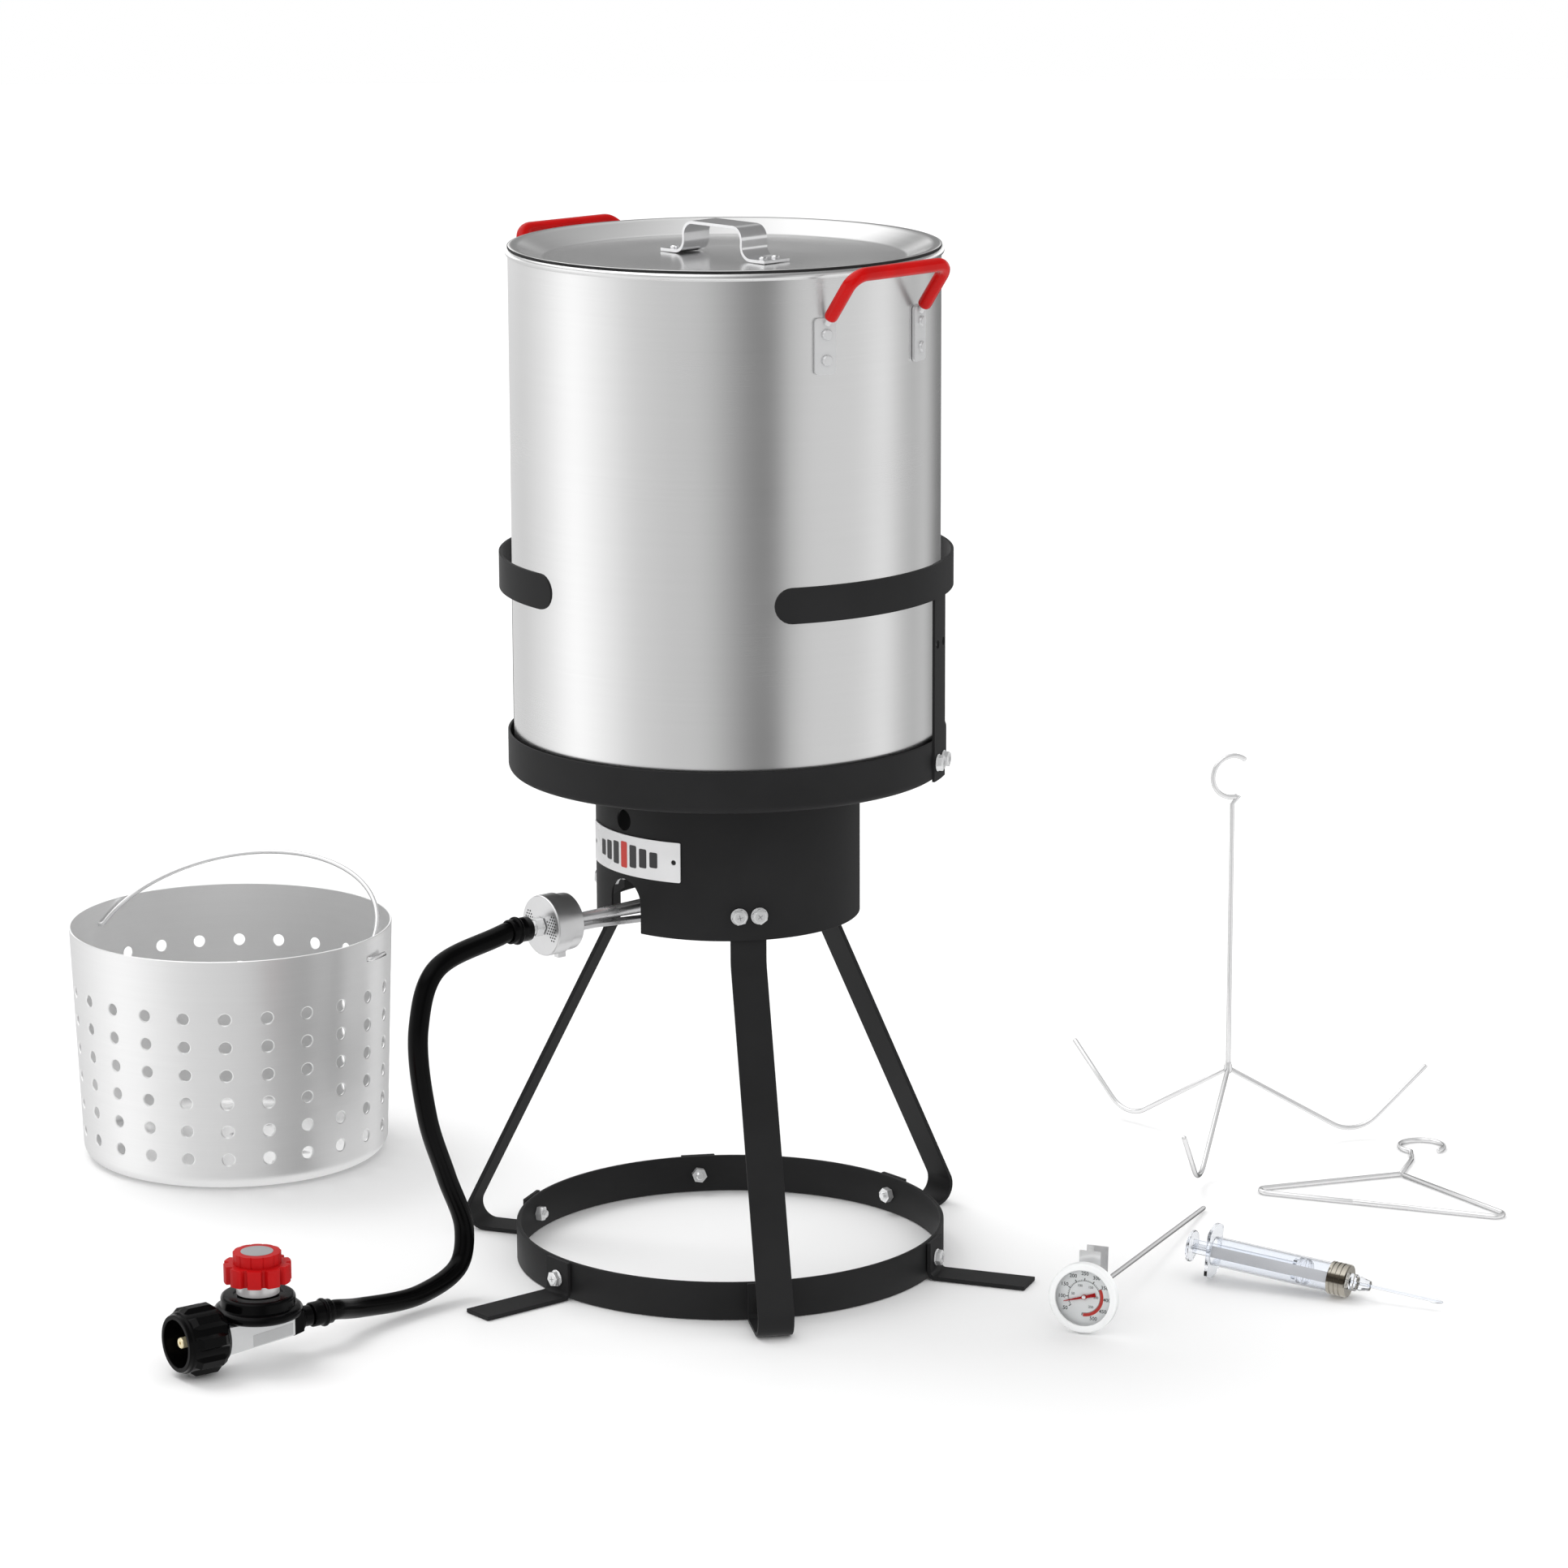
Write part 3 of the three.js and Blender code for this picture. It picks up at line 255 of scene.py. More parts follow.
def swept(path, section, hollow=None):
    """A section of [x, y] points carried along a path without twist."""
    path = [Vector(p) for p in path]
    tangents = []
    for i, p in enumerate(path):
        before = path[max(i - 1, 0)]
        after = path[min(i + 1, len(path) - 1)]
        tangents.append((after - before).normalized())
    side = tangents[0].orthogonal().normalized()
    rings = [section] + ([hollow] if hollow else [])
    points, starts = [], []
    for p, tangent in zip(path, tangents):
        side = (side - tangent * side.dot(tangent)).normalized()
        other = tangent.cross(side)
        row = []
        for ring in rings:
            row.append(len(points))
            points += [p + side * x + other * y for x, y in ring]
        starts.append(row)
    n = len(section)
    faces = []
    for now, then in zip(starts, starts[1:]):
        for k in range(len(rings)):
            for i in range(n):
                j = (i + 1) % n
                quad = (now[k] + i, now[k] + j, then[k] + j, then[k] + i)
                faces.append(quad if k == 0 else quad[::-1])
    for row, flip in ((starts[0], True), (starts[-1], False)):
        if hollow:
            quads = [(row[0] + i, row[0] + (i + 1) % n, row[1] + (i + 1) % n, row[1] + i) for i in range(n)]
            faces += [q[::-1] if flip else q for q in quads]
        else:
            cap = tuple(row[0] + i for i in range(n))
            faces.append(cap[::-1] if flip else cap)
    return Shape(points, faces)


def tapered(path, radii, sides=20):
    """A round bar along a path with its own radius at each point."""
    shape = swept(path, circle(1, sides))
    points = []
    for i, p in enumerate(path):
        for k in range(sides):
            offset = shape.points[i * sides + k] - Vector(p)
            points.append(Vector(p) + offset * radii[i])
    return Shape(points, shape.faces)


def wire(path, radius=WIRE_R, sides=16):
    """A round wire whose cut ends are eased over."""
    path = [Vector(p) for p in path]
    ease = radius * 0.35
    first = (path[1] - path[0]).normalized()
    last = (path[-1] - path[-2]).normalized()
    full = [path[0], path[0] + first * ease] + path[1:-1] + [path[-1] - last * ease, path[-1]]
    radii = [radius * 0.72] + [radius] * (len(full) - 2) + [radius * 0.72]
    return tapered(full, radii, sides)


def ribbon(line, thickness, width):
    """A flat strap bent along a line of [outward, up] points, centred across its width."""
    line = [Vector((p[0], p[1], 0)) for p in line]
    left, right = [], []
    for i, p in enumerate(line):
        along = (line[min(i + 1, len(line) - 1)] - line[max(i - 1, 0)]).normalized()
        normal = Vector((-along.y, along.x, 0)) * (thickness / 2)
        left.append(p + normal)
        right.append(p - normal)
    outline = [(p.x, p.y) for p in left + right[::-1]]
    n = len(left)
    points = [(x, y, -width / 2) for x, y in outline] + [(x, y, width / 2) for x, y in outline]
    count = len(outline)
    faces = [(i, (i + 1) % count, count + (i + 1) % count, count + i) for i in range(count)]
    for i in range(n - 1):
        a, b, c, d = i, i + 1, count - 2 - i, count - 1 - i
        faces.append((d, c, b, a))
        faces.append((count + a, count + b, count + c, count + d))
    return Shape(points, faces)


def curved_plate(inner, thickness, azimuth, half_angle, z0, z1, steps=24, end_radius=0.0):
    """A plate standing on a cylinder about the axis, its ends rounded by end_radius."""
    height = z1 - z0
    reach = math.degrees(end_radius / (inner + thickness / 2))
    ends = [1 - math.cos(math.radians(15 * k)) for k in range(7)] if end_radius else [0]
    left = [-half_angle + reach * t for t in ends]
    middle = [left[-1] + (-2 * left[-1]) * k / steps for k in range(1, steps)]
    angles = left + middle + [-a for a in reversed(left)]
    points = []
    for angle in angles:
        edge = half_angle - abs(angle)
        cut = 0.0
        if end_radius and edge < reach:
            t = 1 - edge / reach
            cut = end_radius * (1 - math.sqrt(max(1 - t * t, 0)))
        cut = min(cut, height / 2 - 0.05)
        for r in (inner, inner + thickness):
            points.append(around(azimuth + angle, r, z0 + cut))
            points.append(around(azimuth + angle, r, z1 - cut))
    faces = []
    for i in range(len(angles) - 1):
        a, b = 4 * i, 4 * i + 4
        for p, q in ((2, 3), (1, 0), (3, 1), (0, 2)):
            faces.append((a + p, b + p, b + q, a + q))
    last = 4 * (len(angles) - 1)
    faces += [(0, 2, 3, 1), (last + 2, last, last + 1, last + 3)]
    return Shape(points, faces)


def catmull_rom(points, per_span):
    """The centripetal curve through points, as the CAD hose uses."""
    points = [Vector(p) for p in points]
    full = [2 * points[0] - points[1]] + points + [2 * points[-1] - points[-2]]
    line = []
    for p0, p1, p2, p3 in zip(full, full[1:], full[2:], full[3:]):
        dt = [max(math.sqrt((b - a).length), 1e-4) for a, b in ((p0, p1), (p1, p2), (p2, p3))]
        m1 = ((p1 - p0) / dt[0] - (p2 - p0) / (dt[0] + dt[1]) + (p2 - p1) / dt[1]) * dt[1]
        m2 = ((p2 - p1) / dt[1] - (p3 - p1) / (dt[1] + dt[2]) + (p3 - p2) / dt[2]) * dt[1]
        for k in range(per_span):
            t = k / per_span
            line.append(
                p1 * (2 * t**3 - 3 * t**2 + 1) + m1 * (t**3 - 2 * t**2 + t)
                + p2 * (-2 * t**3 + 3 * t**2) + m2 * (t**3 - t**2)
            )
    line.append(points[-1])
    return line


# ------------------------------------------------------------------ Blender objects
def mesh_of(name, shape):
    mesh = bpy.data.meshes.new(name)
    mesh.from_pydata([AXIS + p * MM for p in shape.points], [], shape.faces)
    work = bmesh.new()
    work.from_mesh(mesh)
    bmesh.ops.remove_doubles(work, verts=work.verts, dist=1e-7)
    bmesh.ops.recalc_face_normals(work, faces=work.faces)
    work.to_mesh(mesh)
    work.free()
    return mesh


def piece(name, shape, material, body="stand", nodes=(), bevel=0.0, angle=35, cutters=(),
          mirrored=True):
    """A shown piece of the object: bevel is in millimetres, cutters are shapes taken out of it."""
    mesh = mesh_of(name, shape)
    obj = bpy.data.objects.new(name, mesh)
    bpy.context.collection.objects.link(obj)
    if cutters:
        mesh = cut(obj, total(cutters))
    mesh.materials.clear()
    mesh.materials.append(material)
    mesh.polygons.foreach_set("use_smooth", [True] * len(mesh.polygons))
    if bevel:
        rounding = obj.modifiers.new("edges", "BEVEL")
        rounding.width = bevel * MM
        rounding.segments = 2
        rounding.limit_method = "ANGLE"
        rounding.angle_limit = math.radians(angle)
        rounding.harden_normals = True
    else:
        mesh.set_sharp_from_angle(angle=math.radians(angle))
    obj.visible_glossy = mirrored
    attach(obj, body)
    if nodes:
        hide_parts(*nodes)
    return obj


def cut(obj, tool_shape):
    """Takes a shape out of an object and leaves the result as its mesh."""
    tool = bpy.data.objects.new("tool", mesh_of("tool", tool_shape))
    bpy.context.collection.objects.link(tool)
    taking = obj.modifiers.new("cut", "BOOLEAN")
    taking.operation = "DIFFERENCE"
    taking.solver = "EXACT"
    taking.object = tool
    bpy.context.view_layer.update()
    graph = bpy.context.evaluated_depsgraph_get()
    mesh = bpy.data.meshes.new_from_object(obj.evaluated_get(graph))
    obj.modifiers.clear()
    obj.data = mesh
    bpy.data.objects.remove(tool)
    return mesh


def lettering(text, size):
    """Generic figures as a flat shape in millimetres, centred on the origin and facing +z."""
    curve = bpy.data.curves.new("figures", "FONT")
    curve.body = text
    curve.size = size
    curve.align_x = "CENTER"
    curve.align_y = "CENTER"
    curve.resolution_u = 3
    curve.offset = size * 0.012
    obj = bpy.data.objects.new("figures", curve)
    bpy.context.collection.objects.link(obj)
    bpy.context.view_layer.update()
    mesh = bpy.data.meshes.new_from_object(obj)
    shape = Shape([v.co for v in mesh.vertices], [p.vertices for p in mesh.polygons])
    bpy.data.objects.remove(obj)
    bpy.data.meshes.remove(mesh)
    return shape


# ------------------------------------------------------------------ materials
class Nodes:
    """A short way to write a node tree."""

    def __init__(self, tree):
        self.tree = tree

    def add(self, kind, inputs=None, **settings):
        node = self.tree.nodes.new(kind)
        for key, value in settings.items():
            setattr(node, key, value)
        for key, value in (inputs or {}).items():
            if isinstance(value, bpy.types.NodeSocket):
                self.tree.links.new(value, node.inputs[key])
            else:
                node.inputs[key].default_value = value
        return node

    def math(self, operation, a, b=0.0, c=0.0):
        return self.add("ShaderNodeMath", {0: a, 1: b, 2: c}, operation=operation).outputs[0]

    def ramp(self, value, low, high, out_low, out_high):
        inputs = {"Value": value, "From Min": low, "From Max": high, "To Min": out_low, "To Max": out_high}
        return self.add("ShaderNodeMapRange", inputs, clamp=True).outputs[0]

    def place(self, scale=(1, 1, 1)):
        where = self.add("ShaderNodeTexCoord").outputs["Object"]
        return self.add("ShaderNodeMapping", {"Vector": where, "Scale": scale}).outputs[0]

    def noise(self, vector, scale, detail=3.0, roughness=0.5):
        inputs = {"Vector": vector, "Scale": scale, "Detail": detail, "Roughness": roughness}
        return self.add("ShaderNodeTexNoise", inputs).outputs["Fac"]

    def mix(self, factor, a, b):
        node = self.add("ShaderNodeMix", {"Factor": factor}, data_type="RGBA")
        for socket, value in ((node.inputs[6], a), (node.inputs[7], b)):
            if isinstance(value, bpy.types.NodeSocket):
                self.tree.links.new(value, socket)
            else:
                socket.default_value = (*value, 1)
        return node.outputs[2]

    def grey(self, value):
        return self.add("ShaderNodeCombineXYZ", {0: value, 1: value, 2: value}).outputs[0]

    def bump(self, height, strength, distance):
        inputs = {"Height": height, "Strength": strength, "Distance": distance}
        return self.add("ShaderNodeBump", inputs).outputs[0]


def new_material(name):
    material = bpy.data.materials.new(name)
    material.use_nodes = True
    tree = material.node_tree
    tree.nodes.clear()
    nodes = Nodes(tree)
    shader = nodes.add("ShaderNodeBsdfPrincipled")
    nodes.add("ShaderNodeOutputMaterial", {"Surface": shader.outputs[0]})
    return material, nodes, shader


def connect(nodes, shader, **values):
    names = {"color": "Base Color", "rough": "Roughness", "normal": "Normal", "metal": "Metallic",
             "coat": "Coat Weight", "coat_rough": "Coat Roughness", "specular": "Specular IOR Level",
             "through": "Transmission Weight", "ior": "IOR", "alpha": "Alpha"}
    for key, value in values.items():
        socket = shader.inputs[names[key]]
        if isinstance(value, bpy.types.NodeSocket):
            nodes.tree.links.new(value, socket)
        elif key == "color":
            socket.default_value = (*value, 1)
        else:
            socket.default_value = value


def painted(name, color, rough, peel=0.25, specular=0.5):
    """Sprayed paint: orange peel, a little dust, and slow changes of shade and gloss."""
    material, nodes, shader = new_material(name)
    at = nodes.place()
    slow = nodes.noise(at, 14, 3)
    fine = nodes.noise(at, 900, 2)
    specks = nodes.noise(at, 2600, 2)
    shade = nodes.mix(nodes.ramp(slow, 0.35, 0.65, 0, 1), color, tuple(c * 1.18 + 0.001 for c in color))
    dust = nodes.ramp(specks, 0.66, 0.76, 0, 0.12)
    connect(nodes, shader, color=nodes.mix(dust, shade, tuple(c + 0.02 for c in color)),
            rough=nodes.ramp(slow, 0.3, 0.7, rough - 0.05, rough + 0.06),
            normal=nodes.bump(fine, peel, 0.00015), specular=specular)
    return material


def moulded(name, color, rough, grain=1600, depth=0.2, specular=0.5):
    """Moulded plastic or rubber with a fine grain and faint flow marks."""
    material, nodes, shader = new_material(name)
    at = nodes.place()
    slow = nodes.noise(at, 40, 2)
    fine = nodes.noise(at, grain, 3)
    shade = nodes.mix(nodes.ramp(slow, 0.35, 0.65, 0, 1), color, tuple(c * 0.86 for c in color))
    connect(nodes, shader, color=shade, rough=nodes.ramp(fine, 0.3, 0.7, rough - 0.04, rough + 0.06),
            normal=nodes.bump(fine, depth, 0.0001), specular=specular)
    return material


def brushed(name, color, rough, lines=(30, 30, 2600), depth=0.12, spread=0.05, lean=(0, 0, 0), metal=1.0,
            edge_shade=1.0, cut_side=None):
    """Bare metal with fine lines; the line scale is high across the brushing, low along it.
    lean tips the shading a little, which turns the studio's reflections round the metal.
    edge_shade darkens what is seen at a glancing angle, as a dark room does to a polished bar.
    cut_side is the direction that sheared edges face: they are matt and bright."""
    material, nodes, shader = new_material(name)
    streaks = nodes.noise(nodes.place(lines), 1, 3, 0.6)
    broad = nodes.noise(nodes.place(tuple(s / 14 for s in lines)), 1, 2)
    clouds = nodes.noise(nodes.place(), 9, 3)
    shade = nodes.mix(nodes.ramp(streaks, 0.3, 0.7, 0, 1), tuple(c * 0.97 for c in color), color)
    shade = nodes.mix(nodes.ramp(broad, 0.35, 0.65, 0, 0.3), shade, tuple(c * 0.96 for c in color))
    if edge_shade < 1:
        glancing = nodes.add("ShaderNodeLayerWeight", {"Blend": 0.5}).outputs["Facing"]
        shade = nodes.mix(nodes.ramp(glancing, 0.45, 0.80, 0, 1), shade, tuple(c * edge_shade for c in color))
    gloss = nodes.math("ADD", nodes.ramp(streaks, 0.3, 0.7, rough - spread, rough + spread),
                       nodes.ramp(clouds, 0.3, 0.7, -0.02, 0.02))
    normal = nodes.add("ShaderNodeNewGeometry").outputs["Normal"]
    if cut_side:
        along = nodes.add("ShaderNodeVectorMath", {0: normal, 1: cut_side}, operation="DOT_PRODUCT")
        metal = nodes.ramp(nodes.math("ABSOLUTE", along.outputs["Value"]), 0.75, 0.95, metal, 0.1)
    tipped = nodes.add("ShaderNodeVectorMath", {0: normal, 1: lean}, operation="ADD").outputs[0]
    tipped = nodes.add("ShaderNodeVectorMath", {0: tipped}, operation="NORMALIZE").outputs[0]
    relief = {"Height": streaks, "Strength": depth, "Distance": 0.00005, "Normal": tipped}
    connect(nodes, shader, color=shade, metal=metal, rough=gloss,
            normal=nodes.add("ShaderNodeBump", relief).outputs[0])
    return material


def turned_metal(name, color, rough, centre, depth=0.12):
    """Metal spun on a lathe: fine rings about a vertical axis through centre (metres)."""
    material, nodes, shader = new_material(name)
    where = nodes.add("ShaderNodeTexCoord").outputs["Object"]
    offset = nodes.add("ShaderNodeVectorMath", {0: where, 1: centre}, operation="SUBTRACT").outputs[0]
    parts = nodes.add("ShaderNodeSeparateXYZ", {0: offset}).outputs
    radius = nodes.math("SQRT", nodes.math("ADD", nodes.math("MULTIPLY", parts[0], parts[0]),
                                           nodes.math("MULTIPLY", parts[1], parts[1])))
    ring = nodes.add("ShaderNodeCombineXYZ", {0: nodes.math("MULTIPLY", radius, 1500.0), 1: 0.0,
                                              2: nodes.math("MULTIPLY", parts[2], 1500.0)}).outputs[0]
    rings = nodes.noise(ring, 1, 4, 0.65)
    clouds = nodes.noise(where, 12, 3)
    shade = nodes.mix(nodes.ramp(rings, 0.3, 0.7, 0, 1), tuple(c * 0.97 for c in color), color)
    gloss = nodes.math("ADD", nodes.ramp(rings, 0.3, 0.7, rough - 0.02, rough + 0.02),
                       nodes.ramp(clouds, 0.3, 0.7, -0.02, 0.02))
    connect(nodes, shader, color=shade, metal=1.0, rough=gloss, normal=nodes.bump(rings, depth, 0.00006))
    return material


def smoked_chrome():
    """Dark plated metal with a painted dark band along its upper front: the reflection that a low bar leaves
    there.
    """
    material, nodes, shader = new_material("smoked_chrome")
    normal = nodes.add("ShaderNodeNewGeometry").outputs["Normal"]
    height = nodes.add("ShaderNodeSeparateXYZ", {0: normal}).outputs[2]
    # Painted reflection: a dark band where the normal points a little upwards.
    band = nodes.math("MULTIPLY", nodes.ramp(height, 0.0, 0.10, 0, 1), nodes.ramp(height, 0.52, 0.62, 1, 0))
    clouds = nodes.noise(nodes.place(), 160, 3)
    color = nodes.mix(band, (0.46, 0.43, 0.37), (0.055, 0.045, 0.032))
    connect(nodes, shader, color=color, metal=0.8, rough=nodes.ramp(clouds, 0.3, 0.7, 0.12, 0.18))
    return material


def clear(name, color, rough=0.04, ior=1.46, through=1.0, edge=0.5):
    """Clear moulded plastic or glass with faint surface ripple, and painted shade that darkens its edges
    where they are seen at a glancing angle.
    """
    material, nodes, shader = new_material(name)
    ripple = nodes.noise(nodes.place(), 260, 2)
    glancing = nodes.add("ShaderNodeLayerWeight", {"Blend": 0.5}).outputs["Facing"]
    # Painted shade: at a glancing angle the colour is multiplied by edge.
    tint_and_painted_edge_shade = nodes.mix(nodes.ramp(glancing, 0.55, 0.95, 0, 1), color, tuple(c * edge for c in color))
    connect(nodes, shader, color=tint_and_painted_edge_shade, rough=nodes.ramp(ripple, 0.3, 0.7, rough, rough + 0.04), ior=ior,
            through=through, normal=nodes.bump(ripple, 0.08, 0.0002))
    return material


BLACK_PAINT = painted("black_paint", (0.0165, 0.0165, 0.017), 0.5, specular=0.11)
CAST_IRON = painted("cast_iron_finish", (0.03, 0.03, 0.031), 0.75, peel=0.9)
POT_METAL = brushed("pot_aluminium", (0.94, 0.94, 0.94), 0.25, (9, 9, 3200), 0.02, 0.012)
LID_METAL = turned_metal("lid_aluminium", (0.93, 0.93, 0.93), 0.20, AXIS, 0.02)
BASKET_METAL = brushed("basket_aluminium", (0.94, 0.94, 0.94), 0.33, (12, 12, 2600), 0.03, 0.015,
                       lean=(-0.26, -0.24, 0), metal=0.8)
BRIGHT_STRAP = brushed("strap_aluminium", (0.95, 0.95, 0.96), 0.20, (300, 300, 40), 0.02, 0.012,
                       cut_side=outward(HANDLE_AZIMUTH + 90))
ZINC = brushed("zinc_plate", (0.92, 0.925, 0.93), 0.22, (260, 260, 260), 0.01, 0.008, metal=0.6)
CLIP_STEEL = brushed("clip_steel", (0.84, 0.84, 0.845), 0.20, (240, 240, 240), 0.0, 0.006, metal=0.9)
COLLAR_STEEL = brushed("collar_steel", (0.90, 0.90, 0.905), 0.24, (60, 60, 900), 0.01, 0.008, metal=0.45)
BRACKET_STEEL = brushed("bracket_steel", (0.74, 0.745, 0.75), 0.30, (260, 260, 260), 0.01, 0.01, metal=0.6)
SPUN_STEEL = brushed("spun_steel", (0.80, 0.80, 0.805), 0.28, (240, 240, 240), 0.0, 0.006, metal=0.95)
BRIGHT_WIRE = brushed("bright_wire_plate", (0.95, 0.95, 0.955), 0.14, (240, 240, 240), 0.01, 0.008,
                      metal=0.55, edge_shade=0.34)
BRASS = brushed("brass_turned", (0.95, 0.84, 0.55), 0.24, (300, 300, 300), 0.02, 0.01, metal=0.5)
CAST_BODY = brushed("cast_zinc_body", (0.82, 0.825, 0.83), 0.34, (300, 300, 300), 0.03, 0.02, metal=0.7)
# A darker copy of the cast body metal: painted shade on the regulator's facet.
CAST_FACET_PAINTED_SHADE = brushed("cast_zinc_facet_painted_shade", (0.62, 0.625, 0.63), 0.34, (300, 300, 300), 0.03, 0.02, metal=0.7)
HOSE_RUBBER = moulded("hose_rubber", (0.0015, 0.0015, 0.0016), 0.22, 1500, 0.08, 0.08)
BLACK_GLOSS = moulded("black_gloss_plastic", (0.002, 0.002, 0.0022), 0.18, 900, 0.06, 0.10)
RED_PLASTIC = moulded("red_plastic", (0.50, 0.0045, 0.006), 0.38, 1500, 0.12, 0.15)
RED_VINYL = moulded("red_vinyl", (0.52, 0.0015, 0.0015), 0.12, 500, 0.04, 0.22)
DISC_GREY = painted("disc_enamel", (0.30, 0.30, 0.305), 0.45, peel=0.05, specular=0.3)
WHITE_PLATE = painted("white_enamel", (0.74, 0.74, 0.745), 0.30, peel=0.1)
BEZEL_WHITE = painted("bezel_enamel", (0.84, 0.85, 0.85), 0.28, peel=0.08)
DIAL_WHITE = painted("dial_face", (0.86, 0.865, 0.87), 0.5, peel=0.05)
PRINT_BLACK = painted("print_black", (0.03, 0.03, 0.032), 0.5, peel=0.05)
PRINT_RED = painted("print_red", (0.55, 0.03, 0.02), 0.5, peel=0.05)
# Painted shade for the cross recesses of the bolt heads.
RECESS_GREY = painted("recess_shade", (0.16, 0.16, 0.165), 0.6, peel=0.05)
# Near black: the badge screws, the painted shade in the shutter's air holes and the painted shadow under the
# lid's edge.
DARK_HOLE = painted("dark_opening", (0.012, 0.012, 0.012), 0.8, peel=0.1)
SMOKED_CHROME_PAINTED_REFLECTION = smoked_chrome()
LENS_GLASS = clear("lens_glass", (0.99, 1.0, 1.0), 0.01, 1.1)
CLEAR_PLASTIC = clear("clear_plastic", (0.93, 0.95, 0.985), 0.05, 1.3)
SEAL_PLASTIC = clear("seal_plastic", (0.93, 0.94, 0.97), 0.2, 1.2)
STRIP_GREY = painted("barrel_grey_strip", (0.44, 0.45, 0.475), 0.35, peel=0.05, specular=0.2)


# ------------------------------------------------------------------ fasteners
HEAD_ACROSS = 10.0
HEAD_TOP = 4.4
THREAD_R = 3.0
NUT_CORNER_R = 5.8
NUT_HEIGHT = 5


def bolt_head():
    """A hex head with a washer face and a low dome, standing on z = 0."""
    hexagon = extruded(arc(0, 0, HEAD_ACROSS / math.sqrt(3), 0, 300, 5), 0.9, HEAD_TOP)
    washer = lathe([(0, 0), (6.1, 0), (6.3, 0.4), (6.0, 0.95), (0, 0.95)], 40)
    dome = lathe([(0, 4.3), (4.55, 4.3), (4.1, 4.75), (0, 4.85)], 40)
    return hexagon + washer + dome


def head_cross():
    """The drive's cross recess as painted shade: a thin grey skin level with the head's dome."""
    arm, half_width, low, high = 2.2, 0.22, 4.80, 4.90
    return (block(-arm, arm, -half_width, half_width, low, high)
            + block(-half_width, half_width, -arm, arm, low, high))


def fastener(name, places, nodes, nut_face=None, tip=None, head_face=0.0):
    """Bolt heads at [azimuth, sideways, z] places, with nuts and thread tips behind when asked."""
    heads, crosses, backs = Shape(), [], Shape()
    for turn, (azimuth, x, z) in enumerate(places):
        at = facing(azimuth, z) @ Matrix.Translation((x, 0, 0))
        head_at = facing(azimuth, z) @ Matrix.Translation((x, 0, head_face)) @ spun(12 + 25 * turn)
        heads += bolt_head().moved(head_at)
        crosses.append(head_cross().moved(head_at))
        if nut_face is not None:
            hexagon = arc(0, 0, NUT_CORNER_R, 10, 310, 5)
            nut = extruded(hexagon, nut_face - NUT_HEIGHT, nut_face) + thread(THREAD_R, tip, nut_face)
            backs += nut.moved(at)
    piece(name, heads, ZINC, nodes=nodes, bevel=0.18, angle=40)
    for k, cross in enumerate(crosses):
        piece(f"{name}_recess_{k + 1}", cross, RECESS_GREY)
    if backs.points:
        piece(f"{name}_nut", backs, ZINC, bevel=0.15, angle=40)


def thread(radius, z0, z1, pitch=1.0):
    """A bolt end drawn as close rings, with an eased tip."""
    outline = [(0, z0), (radius - 0.7, z0)]
    z = z0 + 0.5
    while z + pitch < z1:
        outline += [(radius, z + pitch * 0.3), (radius - 0.45, z + pitch * 0.8)]
        z += pitch
    outline += [(radius, z1), (0, z1)]
    return lathe(outline, 24)


# ------------------------------------------------------------------ burner stand
def build_shroud():
    fillet, edge = 8, 6
    outer = (
        [(BAND_R, BAND_TOP - 0.5)]
        + arc(BAND_R - edge, LEDGE + edge, edge, 0, -90, 10)
        + arc(SHROUD_R + fillet, LEDGE - fillet, fillet, 90, 180, 10)
        + [(SHROUD_R, SHROUD_BOTTOM + 0.4), (SHROUD_R - 0.4, SHROUD_BOTTOM)]
    )
    inner = (
        [(SHROUD_R - SHEET + 0.4, SHROUD_BOTTOM), (SHROUD_R - SHEET, SHROUD_BOTTOM + 0.4)]
        + arc(SHROUD_R + fillet, LEDGE - fillet, fillet + SHEET, 180, 90, 10)
        + arc(BAND_R - edge, LEDGE + edge, edge - SHEET, -90, 0, 8)
        + [(BAND_R - SHEET, BAND_TOP - 0.5), (BAND_R - SHEET + 0.5, BAND_TOP), (BAND_R - 0.5, BAND_TOP)]
    )
    half, top = 17, 302
    notch = [(-half, SHROUD_BOTTOM - 6), (half, SHROUD_BOTTOM - 6)] + arc(0, top - half, half, 0, 180, 24)
    sight = circle(7.75, 36, 0, 345.5)
    cutters = [extruded(shape, SHROUD_R - 30, SHROUD_R + 15).moved(facing(FRONT)) for shape in (notch, sight)]
    piece("shroud", lathe(outer + inner, 192), BLACK_PAINT, nodes=["burner_shroud"],
          cutters=cutters, angle=32)


